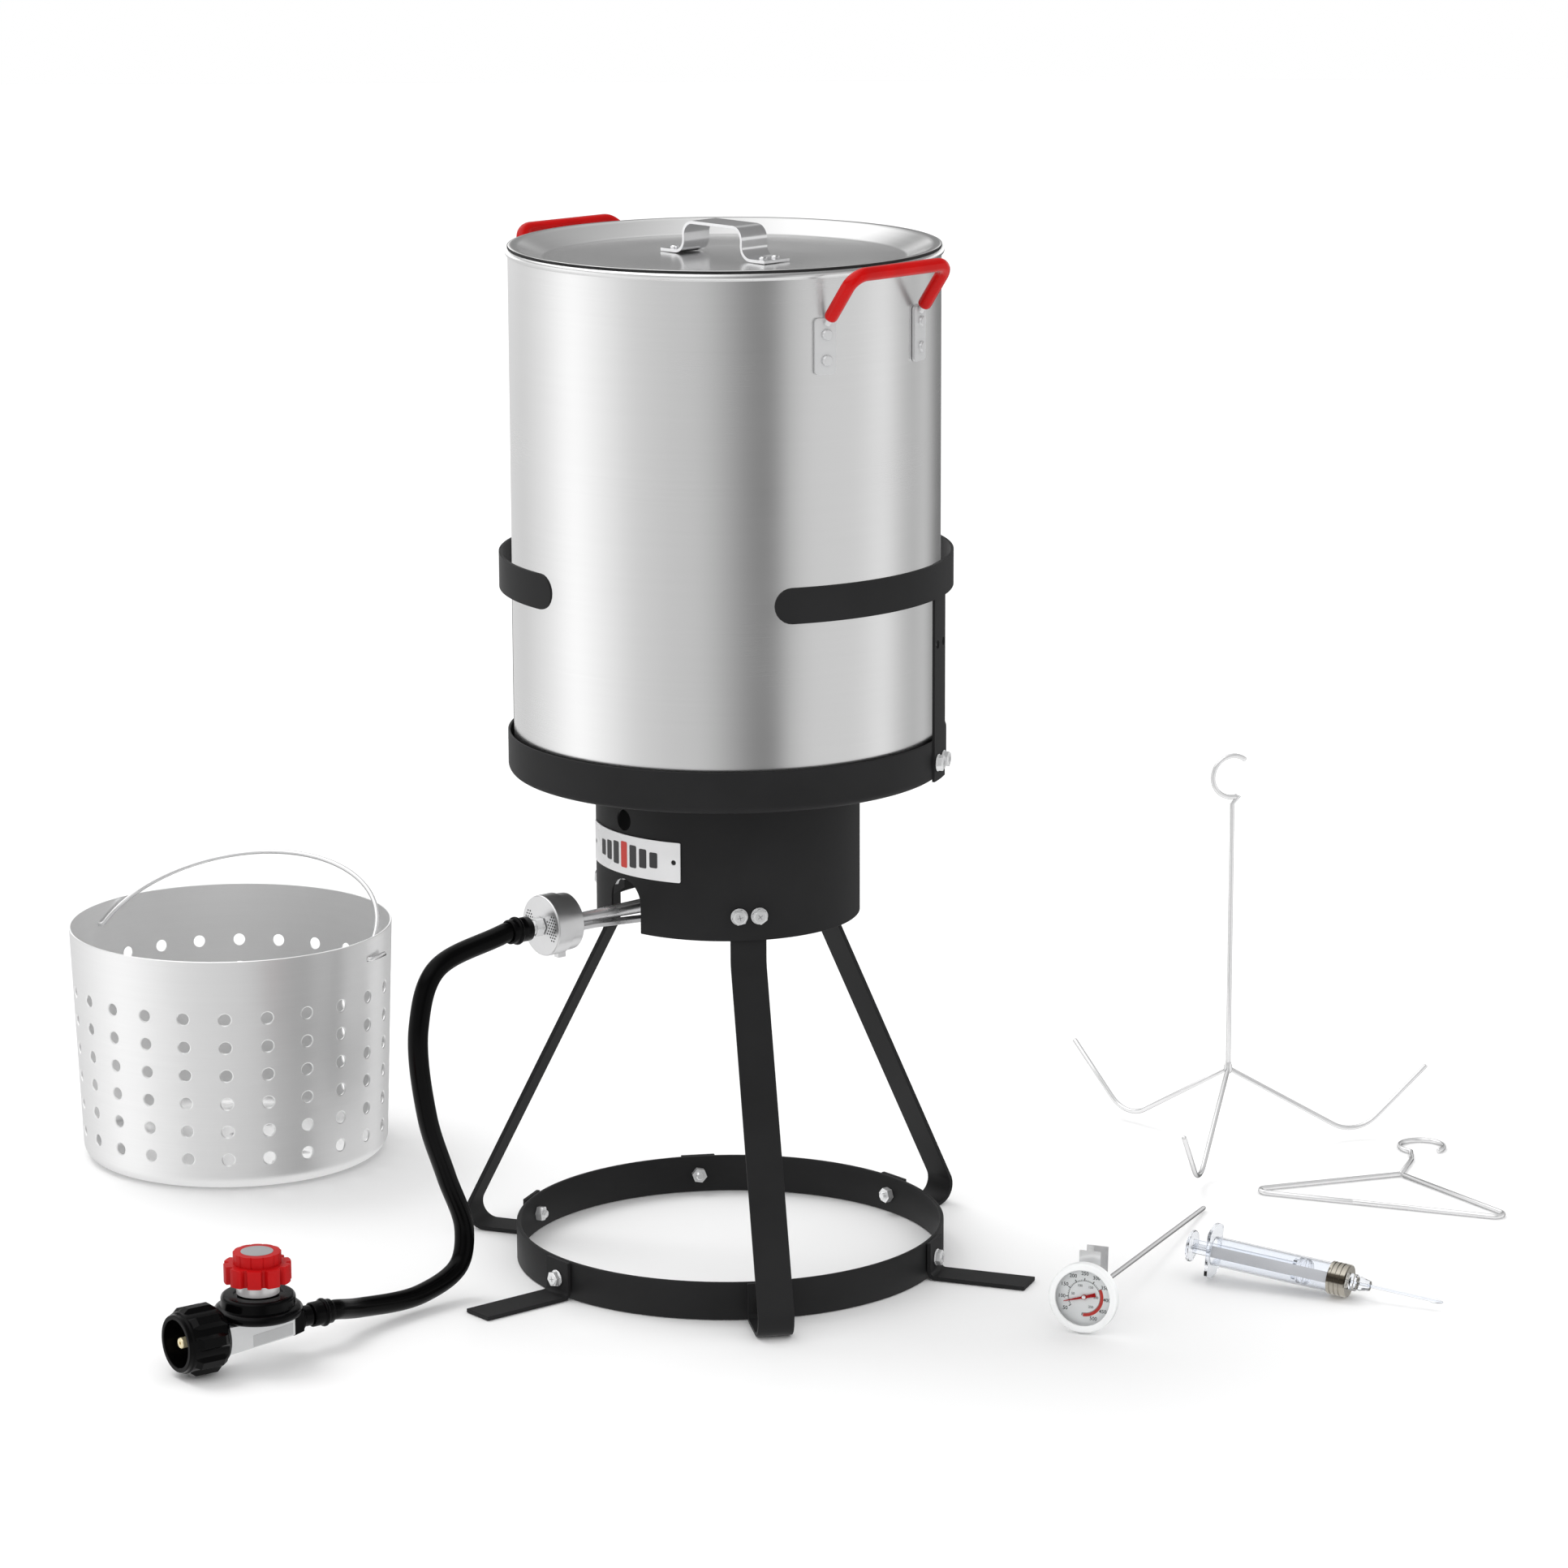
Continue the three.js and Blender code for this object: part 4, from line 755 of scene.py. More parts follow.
def build_plate():
    inner = SHROUD_R + 0.3
    middle_z, half_angle, screw_angle = 320.6, 30.5, 27.5
    screws = [facing(FRONT + side, middle_z) for side in (-screw_angle, screw_angle)]
    holes = [cylinder(1.9, SHROUD_R - 8, SHROUD_R + 8, 20).moved(at) for at in screws]
    plate = curved_plate(inner, 0.9, FRONT, half_angle, 306, 335.3, 40, 1.0)
    piece("badge_plate", plate, WHITE_PLATE, nodes=["name_plate"], cutters=holes, angle=30)
    low = SHROUD_R + 0.1
    screw = lathe([(0, low), (1.8, low), (1.7, SHROUD_R + 0.9), (0, SHROUD_R + 1.2)], 20)
    for k, at in enumerate(screws):
        piece(f"badge_screw_{k + 1}", screw.moved(at), DARK_HOLE)
    # A plain geometric ornament: upright bars, the middle one red.
    bars = {}
    for k in range(-3, 4):
        reach = 9.6 - 1.3 * abs(k)
        azimuth = FRONT + 1 + k * 5.6
        bars[k] = curved_plate(inner + 0.92, 0.12, azimuth, 2.0, middle_z - reach, middle_z + reach, 6, 1.2)
    middle = bars.pop(0)
    piece("badge_bars", total(bars.values()), PRINT_BLACK)
    piece("badge_middle_bar", middle, PRINT_RED)


def strap_inside_shroud():
    return math.sqrt((SHROUD_R - SHEET - 0.3) ** 2 - (STRAP / 2) ** 2)


def build_legs():
    top = strap_inside_shroud() - LEG_THICK / 2 - 0.3
    floor = LEG_THICK / 2
    tab = RING_R + 0.3 + LEG_THICK / 2
    bend_r = 216
    for name, azimuth in LEGS.items():
        down = rounded([(top, 301, 0), (top, 246, 0), (bend_r, floor, 0), (tab + 10, floor, 0)], 21, 12)
        up = rounded([(tab + 10, floor, 0), (tab, floor, 0), (tab, RING_HEIGHT, 0)], 5, 6)[1:]
        bar = ribbon(down + up, LEG_THICK, STRAP).moved(strap_frame(azimuth))
        piece(f"leg_strap_{name}", bar, BLACK_PAINT, nodes=[f"leg_{name}"], bevel=0.45)
    for name, azimuth in FEET.items():
        line = rounded([(tab, RING_HEIGHT, 0), (tab, floor, 0), (FOOT_TIP_R, floor, 0)], 4.5, 6)
        bar = ribbon(line, LEG_THICK, STRAP).moved(strap_frame(azimuth))
        piece(f"foot_strap_{name}", bar, BLACK_PAINT, nodes=[f"foot_{name}"], bevel=0.45)


def build_ring():
    inner = RING_R - LEG_THICK
    ease = 0.5
    outline = [
        (RING_R, ease), (RING_R, RING_HEIGHT - ease), (RING_R - ease, RING_HEIGHT),
        (inner + ease, RING_HEIGHT), (inner, RING_HEIGHT - ease), (inner, ease), (inner + ease, 0),
        (RING_R - ease, 0),
    ]
    piece("ring_band", lathe(outline, 192), BLACK_PAINT, nodes=["base_ring"], angle=60)


def build_guard():
    inner = BAND_R + 0.3
    half = math.degrees(STRAP / 2 / inner)
    for side, azimuth in (("left", GUARD_FRONT - 90), ("right", GUARD_FRONT + 90)):
        hole = cylinder(3.3, inner - 6, inner + 8, 28)
        holes = [hole.shifted(x, 0, 0).moved(facing(azimuth, GUARD_HOLE_Z))
                 for x in (-GUARD_BOLT_SPREAD, GUARD_BOLT_SPREAD)]
        plate = curved_plate(inner, 2, azimuth, half, GUARD_BOTTOM, HOOP[1] - 1, 12)
        piece(f"upright_{side}", plate, BLACK_PAINT, nodes=[f"guard_upright_{side}"],
              bevel=0.3, cutters=holes, mirrored=False)
    hoop = curved_plate(inner + 2.6, 2, GUARD_FRONT + 180, 180 - HOOP_HALF_OPENING, HOOP[0], HOOP[1], 150,
                        (HOOP[1] - HOOP[0]) / 2)
    piece("hoop_band", hoop, BLACK_PAINT, nodes=["guard_hoop"], angle=50, mirrored=False)


def build_fasteners():
    spider_face = strap_inside_shroud() - 0.6 - LEG_THICK
    for name, azimuth in LEGS.items():
        places = [(azimuth, x, LEG_BOLT_Z) for x in (-LEG_BOLT_SPREAD, LEG_BOLT_SPREAD)]
        fastener(f"leg_fasteners_{name}", places, [f"leg_bolts_{name}"],
                 spider_face - 0.3, spider_face - 7, SHROUD_R + 0.1)
    for side, azimuth in (("left", GUARD_FRONT - 90), ("right", GUARD_FRONT + 90)):
        places = [(azimuth, x, GUARD_BOLT_Z) for x in (-GUARD_BOLT_SPREAD, GUARD_BOLT_SPREAD)]
        fastener(f"guard_fasteners_{side}", places, [f"guard_bolts_{side}"], head_face=BAND_R + 2.4)
    ring_inner = RING_R - LEG_THICK
    for k, azimuth in enumerate([*LEGS.values(), *FEET.values()]):
        fastener(f"ring_fastener_{k + 1}", [(azimuth, 0, RING_HEIGHT / 2)], [f"base_bolt_{k + 1}"],
                 ring_inner - 0.4, ring_inner - 8, RING_R + LEG_THICK + 0.4)


# ------------------------------------------------------------------ burner and gas inlet
def build_burner():
    for node in ("burner_head", "burner_spider"):
        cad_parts[node].data.materials.clear()
        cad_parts[node].data.materials.append(CAST_IRON)
    end = SHUTTER_FACE - 34
    at = facing(FRONT, INLET_Z)
    tube = lathe([(5.6, 8), (5.6, 60), (3.8, end), (2.6, end), (4.2, 60), (4.2, 8)], 40).moved(at)
    rail = ribbon([(16, INLET_Z - 14), (end - 12, INLET_Z - 6.5), (end - 1, INLET_Z - 6.5)], 3, 10)
    web = block(-1.5, 1.5, -6.5, -3.2, end - 12, end - 2).moved(at)
    piece("mixing_tube", tube + rail.moved(strap_frame(FRONT)) + web, SPUN_STEEL, nodes=["venturi_tube"],
          bevel=0.3, angle=40)


def build_intake():
    at = facing(FRONT, INLET_Z)
    back = SHUTTER_FACE - 32
    cup = lathe(
        [(4.2, back), (6.2, back)] + arc(8.5, back + 2.5, 2.5, 225, 250, 2)
        + [(SHUTTER_R - 3.2, back + 7.4), (SHUTTER_R - 1.6, back + 8.8), (SHUTTER_R - 1.4, back + 11)]
        + [(SHUTTER_R - 1.4, SHUTTER_FACE - 2.2), (SHUTTER_R - 2.6, SHUTTER_FACE - 2.2)]
        + [(SHUTTER_R - 2.6, back + 11), (7, back + 2), (4.2, back + 2)], 96)
    lug = block(-2.5, 2.5, -SHUTTER_R - 3.5, -SHUTTER_R + 2.2, SHUTTER_FACE - 20, SHUTTER_FACE - 13.4)
    piece("intake_cup", (cup + lug).moved(at), SPUN_STEEL, nodes=["mixer_cup"], angle=30)
    face = SHUTTER_FACE
    cap = lathe(
        [(4.6, face - 1.2), (4.6, face), (SHUTTER_R - 1.6, face)]
        + arc(SHUTTER_R - 1.4, face - 1.4, 1.4, 80, 0, 6)
        + [(SHUTTER_R, face - 13), (SHUTTER_R - 1.1, face - 13), (SHUTTER_R - 1.1, face - 1.2)], 96)
    piece("shutter_cap", cap.moved(at), SPUN_STEEL, body="shutter", nodes=["air_shutter"],
          angle=30)
    # Fine air holes in two opposite sectors of the face, drawn as near-black discs on the solid face: painted
    # shade in place of open holes.
    dots = []
    pitch = 2.5
    for column in range(-9, 10):
        for row in range(-9, 10):
            x = (column + 0.5 * (row % 2)) * pitch
            y = row * pitch * 0.866
            r = math.hypot(x, y)
            if 8.2 < r < 18.6 and abs(y) < abs(x) * 0.72:
                dots.append(cylinder(0.68, face - 0.4, face + 0.06, 10).shifted(x, y, 0))
    piece("shutter_air_holes_painted_shade", total(dots).moved(at), DARK_HOLE, body="shutter")
    hexagon = extruded(arc(0, 0, 12.5 / math.sqrt(3), 0, 300, 5), face + 0.6, face + 7.5)
    neck = lathe([(0, face + 7), (5.2, face + 7), (5.2, face + 11), (0, face + 11)], 32)
    stub = cylinder(4.2, face - 12, face + 2, 32)
    piece("orifice_hex", (hexagon + neck + stub).moved(at), ZINC, nodes=["orifice_fitting"],
          bevel=0.4, angle=40)


def ferrule(start, end):
    bead = start + (end - start) * 0.62
    bore = HOSE_R + 0.4
    outline = (
        [(bore, start), (8.4, start), (8.8, start + 0.5), (8.8, bead - 3.2)]
        + arc(8.2, bead, 2.0, -70, 70, 10)
        + [(8.8, bead + 3.2), (8.8, end - 0.5), (8.4, end), (bore, end)]
    )
    return lathe(outline, 64)


def build_hose():
    start = around(FRONT, SHUTTER_FACE + 12, INLET_Z)
    lead = around(FRONT, SHUTTER_FACE + 32, INLET_Z)
    middle = [(-205, -168, 262), (-217, -172, 222), (-214, -148, 150), (-203, -118, 96), (-192, -98, 50),
              (-196, -102, 24), (-222, -133, 12), (-262, -178, 17)]
    turn = math.radians(REGULATOR_TURN)
    along = Vector((math.cos(turn), math.sin(turn), 0))
    inlet = REGULATOR + UP * REGULATOR_Z
    path = [start, *catmull_rom([lead, *middle, inlet + along * 62], 16), inlet + along * 42]
    piece("hose", swept(path, circle(HOSE_R, 40)), HOSE_RUBBER, nodes=["gas_hose"])
    sleeve = ferrule(SHUTTER_FACE + 11.5, SHUTTER_FACE + 29).moved(facing(FRONT, INLET_Z))
    piece("hose_end_burner", sleeve, BLACK_GLOSS, nodes=["hose_ferrule_burner"], angle=50)


# ------------------------------------------------------------------ regulator
def build_regulator():
    at = Matrix.Translation(REGULATOR) @ spun(REGULATOR_TURN)
    along = at @ Matrix.Translation((0, 0, REGULATOR_Z)) @ spun(90, "Y")

    side = softened([(-32, 13), (-32, 33.2), (22, 33.2), (22, 17.5)], 1.2)
    lying = spun(90, "X")
    body = extruded(side, -13, 13).moved(at @ lying)
    # The facet stands only 0.15 mm off the body's sides and is coloured darker than the body: painted shade.
    facet = extruded([(-12, 15.6), (-12, 24), (20, 27), (20, 18.6)], -13.15, 13.15).moved(at @ lying)
    piece("valve_body", body, CAST_BODY, nodes=["regulator_body"], bevel=0.5, angle=30)
    piece("valve_facet", facet, CAST_FACET_PAINTED_SHADE)
    neck = lathe([(0, 20), (9.5, 20), (9.5, 33), (7.4, 35), (7.4, 41), (0, 41)], 48).moved(along)
    saddle_side = softened([(20.5, 16.5), (20.5, 33.2), (30, 33.2), (30, 18.5)], 1)
    saddle = extruded(saddle_side, -12, 12).moved(at @ lying)
    piece("valve_neck", neck + saddle, BLACK_GLOSS, bevel=0.4, angle=40)

    bonnet = (
        [(0, 33.5), (28, 33.5)] + arc(27.8, 37.4, 3.6, -80, 80, 12)
        + [(26.6, 41.6), (26.3, 42.6), (26.3, 45.8)] + arc(23.5, 46.8, 2.8, 0, 90, 8)
        + [(17.5, 49.6), (17, 48.6), (4.6, 48.6), (4.6, 36), (0, 36)]
    )
    piece("bonnet", lathe(bonnet, 128).moved(at), BLACK_GLOSS, nodes=["regulator_bonnet"],
          angle=45)
    collar = [(4.6, 49.9), (14.8, 49.9), (15.2, 50.3), (15.2, 58), (14.8, 58.4), (4.6, 58.4)]
    piece("collar", lathe(collar, 96).moved(at), COLLAR_STEEL, nodes=["regulator_collar"],
          angle=30)

    build_knob(at)
    build_nut(along)
    piece("hose_end_tank", ferrule(42, 58).moved(along), BLACK_GLOSS, nodes=["hose_ferrule_tank"],
          angle=50)


def polar(radius, angle):
    a = math.radians(angle)
    return radius * math.cos(a), radius * math.sin(a)


def build_knob(at):
    lobes, facets, tooth = 10, 12, 11.5
    outline = []
    for i in range(lobes):
        middle = 360 / lobes * (i + 0.5)
        outline += [polar(23.7, middle + d) for d in (-tooth, -tooth / 3, tooth / 3, tooth)]
        outline += [polar(20.0, middle + 180 / lobes + d) for d in (-2.6, 0, 2.6)]
    lower = extruded(softened(outline, 0.5, 2), 58.9, 71.9)
    crown = []
    for i in range(facets):
        for d, r in ((-13.4, 16.6), (-4.5, 17.0), (4.5, 17.0), (13.4, 16.6), (15, 16.0)):
            crown.append(polar(r, 360 / facets * i + d))
    upper = extruded(crown, 71, 80)
    spindle = cylinder(4, 42, 60, 24)
    piece("knob_body", (lower + upper + spindle).moved(at), RED_PLASTIC, body="knob",
          nodes=["regulator_knob"], bevel=0.3, angle=28)
    disc = [(0, 79.9), (11.4, 79.9), (11.4, 80.15), (11.2, 80.25), (0, 80.3)]
    piece("knob_cap_disc", lathe(disc, 96).moved(at), DISC_GREY, body="knob", nodes=["knob_disc"],
          angle=40)


def build_nut(at):
    shell = (
        [(17.0, -66.1), (17.4, -66.5), (19.9, -66.5), (20.4, -66.0), (20.6, -63.6), (21.8, -62.6), (22, -61)]
        + [(22, -36), (19, -32.4), (9, -32.4), (9, -35), (15, -36.5), (17.0, -40)]
    )
    # A rib is a low ridge: a wide foot on the shell and a narrower crest.
    shell_r, foot_half, crest_half = 20.6, 5.6, 3.2
    crest = [(20.4, -63), (24.8, -57.5), (24.8, -40), (20.4, -34.5)]
    points = [(shell_r, side * foot_half, z) for side in (-1, 1) for _, z in crest]
    points += [(r, side * crest_half, z) for side in (-1, 1) for r, z in crest]
    foot_left, foot_right, crest_left, crest_right = 0, 4, 8, 12
    faces = []
    for k in range(3):
        for a, b in ((crest_left, crest_right), (foot_left, crest_left), (crest_right, foot_right),
                     (foot_right, foot_left)):
            faces.append((a + k, a + k + 1, b + k + 1, b + k))
    for k in (0, 3):
        corners = [foot_left + k, crest_left + k, crest_right + k, foot_right + k]
        faces.append(tuple(corners if k == 0 else [corners[0], *corners[:0:-1]]))
    ribs = [Shape(points, faces).moved(spun(i * 40 + 20)) for i in range(9)]
    piece("hand_nut", (lathe(shell, 90) + total(ribs)).moved(at), BLACK_GLOSS, body="nut", nodes=["tank_nut"],
          bevel=0.5, angle=30)
    nipple = (
        [(0, -32.3), (8.6, -32.3), (8.6, -38), (7.2, -39)]
        + [(7.2, -45), (7.2, -50), (4.6, -56.5), (3.9, -57), (3.9, -62.4), (3.4, -63)]
        + [(1.2, -63), (1.2, -61), (0, -61)]
    )
    piece("nipple", lathe(nipple, 64).moved(at), BRASS, nodes=["tank_nipple"], angle=30)


# ------------------------------------------------------------------ pot and lid
def build_pot():
    corner, wall = 12, 1.8
    inner = POT_R - wall
    outline = (
        [(0, POT_BOTTOM), (POT_R - corner, POT_BOTTOM)]
        + arc(POT_R - corner, POT_BOTTOM + corner, corner, -84, 0, 12)
        + [(POT_R, POT_BEAD_Z - 6), (POT_R, POT_BEAD_Z - 2.9)]
        + arc(POT_R - 0.4, POT_BEAD_Z, 2.6, -70, 165, 16)
        + [(inner, POT_BEAD_Z - 3)]
        + arc(inner - corner + wall, POT_BOTTOM + corner, corner - wall, 0, -84, 10)
        + [(inner - corner, POT_BOTTOM + wall), (0, POT_BOTTOM + wall)]
    )
    piece("pot_shell", lathe(outline, 256), POT_METAL, body="pot", nodes=["pot"], angle=40)
    for side, azimuth in (("right", HANDLE_AZIMUTH), ("left", LEFT_HANDLE_AZIMUTH)):
        build_handle(side, azimuth)


def build_handle(side, azimuth):
    spread = 17.25
    plates = []
    for offset in (-spread, spread):
        plates.append(curved_plate(POT_R + 0.3, 2.4, azimuth + offset, 3.0, 680, 719.5, 8, 3.0))
        for z in (690, 708):
            face = POT_R + 2.6
            rivet = [(0, face), (3.9, face), (3.9, face + 1.6), (3.3, face + 2.4), (0, face + 2.7)]
            place_at = facing(azimuth + offset, z) @ Matrix.Translation((0.9, 0, 0))
            plates.append(lathe(rivet, 12).moved(place_at))
    end = POT_R * math.sin(math.radians(spread))
    out = POT_R * math.cos(math.radians(spread))
    wire_r = 2.6
    foot = (715.5, out + wire_r + 0.6)
    grip = (GRIP_Z, out + 30)
    at = facing(azimuth)
    corners = [at @ Vector(c) for c in ((-end, *foot), (-end, *grip), (end, *grip), (end, *foot))]
    plates.append(swept(rounded(corners, 11, 10), circle(wire_r, 20)))
    piece(f"handle_bracket_{side}", total(plates), BRACKET_STEEL, body="pot", nodes=[f"pot_handle_{side}"],
          bevel=0.35, angle=40)
    first = corners[0].lerp(corners[1], 0.10)
    last = corners[3].lerp(corners[2], 0.10)
    path = rounded([first, corners[1], corners[2], last], 11, 12)
    begin = (path[1] - path[0]).normalized()
    close = (path[-1] - path[-2]).normalized()
    path = [path[0], path[0] + begin * 0.5, path[0] + begin * 1.6, path[0] + begin * 3] + path[1:-1] + [
        path[-1] - close * 3, path[-1] - close * 1.6, path[-1] - close * 0.5, path[-1]]
    radii = [3.1, 4.1, 4.7, 4.9] + [4.9] * (len(path) - 8) + [4.9, 4.7, 4.1, 3.1]
    piece(f"grip_{side}", tapered(path, radii, 32), RED_VINYL, body="pot", nodes=[f"pot_grip_{side}"],
          angle=60, mirrored=False)


def build_lid():
    sheet = 1.5
    under = LID_PANEL - sheet
    outline = (
        [(0, LID_PANEL), (60, LID_PANEL), (127, LID_PANEL), (129, LID_PANEL + 0.3), (131, LID_PANEL + 1.0)]
        + [(147.6, LID_RIM - 1.4), (149.8, LID_RIM - 0.4), (151.5, LID_RIM), (POT_R - 0.6, LID_RIM)]
        + [(POT_R - 0.3, LID_RIM - 0.2), (POT_R - 0.8, LID_RIM - 0.35)]
        + [(151.6, LID_RIM - 0.35), (149.8, LID_RIM - sheet), (130, under), (0, under)]
    )
    piece("lid_pan", lathe(outline, 256), LID_METAL, body="lid", nodes=["lid"], angle=50)
    # The sheet is folded back under its edge: a narrow near-black ring under the rim is painted shadow in the
    # gap beneath the fold.
    low, high = LID_RIM - 1.68, LID_RIM - 0.37
    fold = [(151.8, low), (POT_R + 0.2, low), (POT_R + 0.3, high), (151.8, high)]
    piece("lid_fold_painted_shadow", lathe(fold, 256), DARK_HOLE, body="lid", angle=50)
    bottom = LID_PANEL + 0.3 + 1.25
    leg, foot, top = 30, 54, 768
    line = rounded([(-foot, bottom, 0), (-leg, bottom, 0), (-leg, top, 0), (leg, top, 0), (leg, bottom, 0),
                    (foot, bottom, 0)], 9, 12)
    bar = ribbon(line, 2.2, 25)
    upright = spun(-90, "X")
    rivets = []
    for x in (-46, 46):
        for z in (-6, 6):
            rivet = lathe([(0, 0), (2.9, 0), (2.9, 0.9), (2.2, 1.9), (0, 2.3)], 24)
            rivets.append(rivet.moved(Matrix.Translation((x, bottom + 1.1, z)) @ upright))
    at = strap_frame(HANDLE_AZIMUTH)
    piece("lid_bail", (bar + total(rivets)).moved(at), BRIGHT_STRAP, body="lid", nodes=["lid_handle"],
          bevel=0.25, angle=40)


# ------------------------------------------------------------------ basket, rack and lifter
def basket_radius(z):
    return BASKET_BOTTOM_R + (BASKET_TOP_R - BASKET_BOTTOM_R) * z / BASKET_HEIGHT


HOLE_R = 4.7
HOLE_ROWS = [25, 47.6, 70.2, 92.8, 115.4, 138]
HOLE_COLUMNS = 24
FIRST_COLUMN = 3
CELL_STEPS = 6  # subdivisions of a cell's side, so that cells and plain wall share points


def basket_wall():
    """The side wall with round, chamfered holes: a square patch of cells round each hole."""
    pitch_z = HOLE_ROWS[1] - HOLE_ROWS[0]
    pitch_a = 360 / HOLE_COLUMNS
    shape = Shape()

    def at(azimuth, z, depth):
        return around(azimuth, basket_radius(z) - depth, z)

    def grid(rows, depth, flip):
        columns = HOLE_COLUMNS * CELL_STEPS
        azimuths = [FIRST_COLUMN + pitch_a * (i / CELL_STEPS - 0.5) for i in range(columns)]
        points = [at(azimuth, z, depth) for z in rows for azimuth in azimuths]
        faces = []
        for r in range(len(rows) - 1):
            for i in range(columns):
                j = (i + 1) % columns
                quad = (r * columns + i, r * columns + j, (r + 1) * columns + j, (r + 1) * columns + i)
                faces.append(quad[::-1] if flip else quad)
        return Shape(points, faces)

    def cell(azimuth, z):
        half = CELL_STEPS // 2
        rising = [k / half for k in range(-half, half)]
        falling = [k / half for k in range(half, -half, -1)]
        border = [(1, t) for t in rising] + [(t, 1) for t in falling]
        border += [(-1, t) for t in falling] + [(t, -1) for t in rising]
        points, loops = [], []

        def loop(radius, depth):
            start = len(points)
            for x, y in border:
                if radius is None:
                    points.append(at(azimuth + x * pitch_a / 2, z + y * pitch_z / 2, depth))
                else:
                    angle = math.atan2(y, x)
                    side = math.degrees(radius * math.cos(angle) / basket_radius(z))
                    points.append(at(azimuth + side, z + radius * math.sin(angle), depth))
            loops.append(start)

        outside = [(None, 0), (HOLE_R + 2.2, 0), (HOLE_R + 0.75, 0), (HOLE_R, 0.45)]
        inside = [(HOLE_R, BASKET_WALL - 0.3), (HOLE_R + 0.3, BASKET_WALL), (HOLE_R + 2.2, BASKET_WALL),
                  (None, BASKET_WALL)]
        for radius, depth in outside + inside:
            loop(radius, depth)
        n = len(border)
        faces = []
        for a, b in zip(loops, loops[1:]):
            faces += [(a + i, a + (i + 1) % n, b + (i + 1) % n, b + i) for i in range(n)]
        return Shape(points, faces)

    low = HOLE_ROWS[0] - pitch_z / 2
    high = HOLE_ROWS[-1] + pitch_z / 2
    for depth, flip in ((0, False), (BASKET_WALL, True)):
        shape = shape + grid([11, low], depth, flip) + grid([high, 165, BASKET_HEIGHT - 0.4], depth, flip)
    for z in HOLE_ROWS:
        for column in range(HOLE_COLUMNS):
            shape = shape + cell(FIRST_COLUMN + column * pitch_a, z)
    return shape


def basket_rings():
    """Rim and bottom, turned with the wall's own columns of points so that the edges meet."""
    columns = HOLE_COLUMNS * CELL_STEPS
    azimuths = [FIRST_COLUMN + 360 * (i - CELL_STEPS / 2) / columns for i in range(columns)]
    bend = 11
    r = basket_radius(bend)

    def spin(outline):
        points, rows = [], []
        for radius, z in outline:
            rows.append(len(points))
            if radius < 1e-6:
                points.append((0, 0, z))
            else:
                points += [around(azimuth, radius, z) for azimuth in azimuths]
        faces = []
        for k in range(len(outline) - 1):
            a, b = rows[k], rows[k + 1]
            for i in range(columns):
                j = (i + 1) % columns
                if outline[k][0] < 1e-6:
                    faces.append((a, b + j, b + i))
                elif outline[k + 1][0] < 1e-6:
                    faces.append((a + i, a + j, b))
                else:
                    faces.append((a + i, a + j, b + j, b + i))
        return Shape(points, faces)

    top = basket_radius(BASKET_HEIGHT - 0.4)
    rim = [(top, BASKET_HEIGHT - 0.4), (top - 0.35, BASKET_HEIGHT), (top - BASKET_WALL + 0.35, BASKET_HEIGHT),
           (top - BASKET_WALL, BASKET_HEIGHT - 0.4)]
    outer = [(0, 0), (60, 0), (r - bend - 4, 0)] + arc(r - bend, bend, bend, -86, 0, 8)
    inner = arc(r - bend, bend, bend - BASKET_WALL, 0, -86, 8)
    inner += [(r - bend - 4, BASKET_WALL), (0, BASKET_WALL)]
    return spin(rim) + spin(outer) + spin(inner)


def build_basket():
    shape = (basket_wall() + basket_rings()).shifted(*BASKET)
    holes = []
    for radius, count in ((30, 6), (60, 12), (90, 18)):
        for k in range(count):
            spot = around(360 * k / count + 8, radius, 0)
            holes.append(cylinder(HOLE_R, -3, 5, 24).shifted(spot.x + BASKET.x, spot.y + BASKET.y, 0))
    for azimuth in (BAIL_AZIMUTH, BAIL_AZIMUTH + 180):
        at = Matrix.Translation(BASKET) @ facing(azimuth, BAIL_Z)
        holes.append(cylinder(WIRE_R + 0.5, 110, 140, 20).moved(at))
    piece("basket_shell", shape, BASKET_METAL, body="basket", nodes=["basket"], angle=28,
          cutters=holes)
    build_bail()


def build_bail():
    half = basket_radius(BAIL_Z) - BASKET_WALL - WIRE_R - 1.2
    outside = basket_radius(BAIL_Z) + WIRE_R + 1.2
    height = 108
    tail = 20
    steps = 64
    bow = [Vector((0, height * math.sin(math.pi * i / steps), half * math.cos(math.pi * i / steps)))
           for i in range(steps + 1)]
    tail_x = tail * math.cos(math.radians(BAIL_LEAN))
    tail_y = tail * math.sin(math.radians(BAIL_LEAN))
    first = [Vector((tail_x, tail_y, outside)), Vector((0, 0, outside))]
    last = [Vector((0, 0, -outside)), Vector((-tail_x, -tail_y, -outside))]
    start = rounded([*first, bow[0], bow[2]], 2.4, 6)[:-1]
    finish = rounded([bow[-3], bow[-1], *last], 2.4, 6)[1:]
    lean = spun(-BAIL_LEAN)
    at = Matrix.Translation(BASKET) @ facing(BAIL_AZIMUTH, BAIL_Z) @ lean
    piece("bail_wire", wire([*start, *bow[2:-2], *finish]).moved(at), BRIGHT_WIRE, body="bail",
          nodes=["basket_bail"], angle=60)


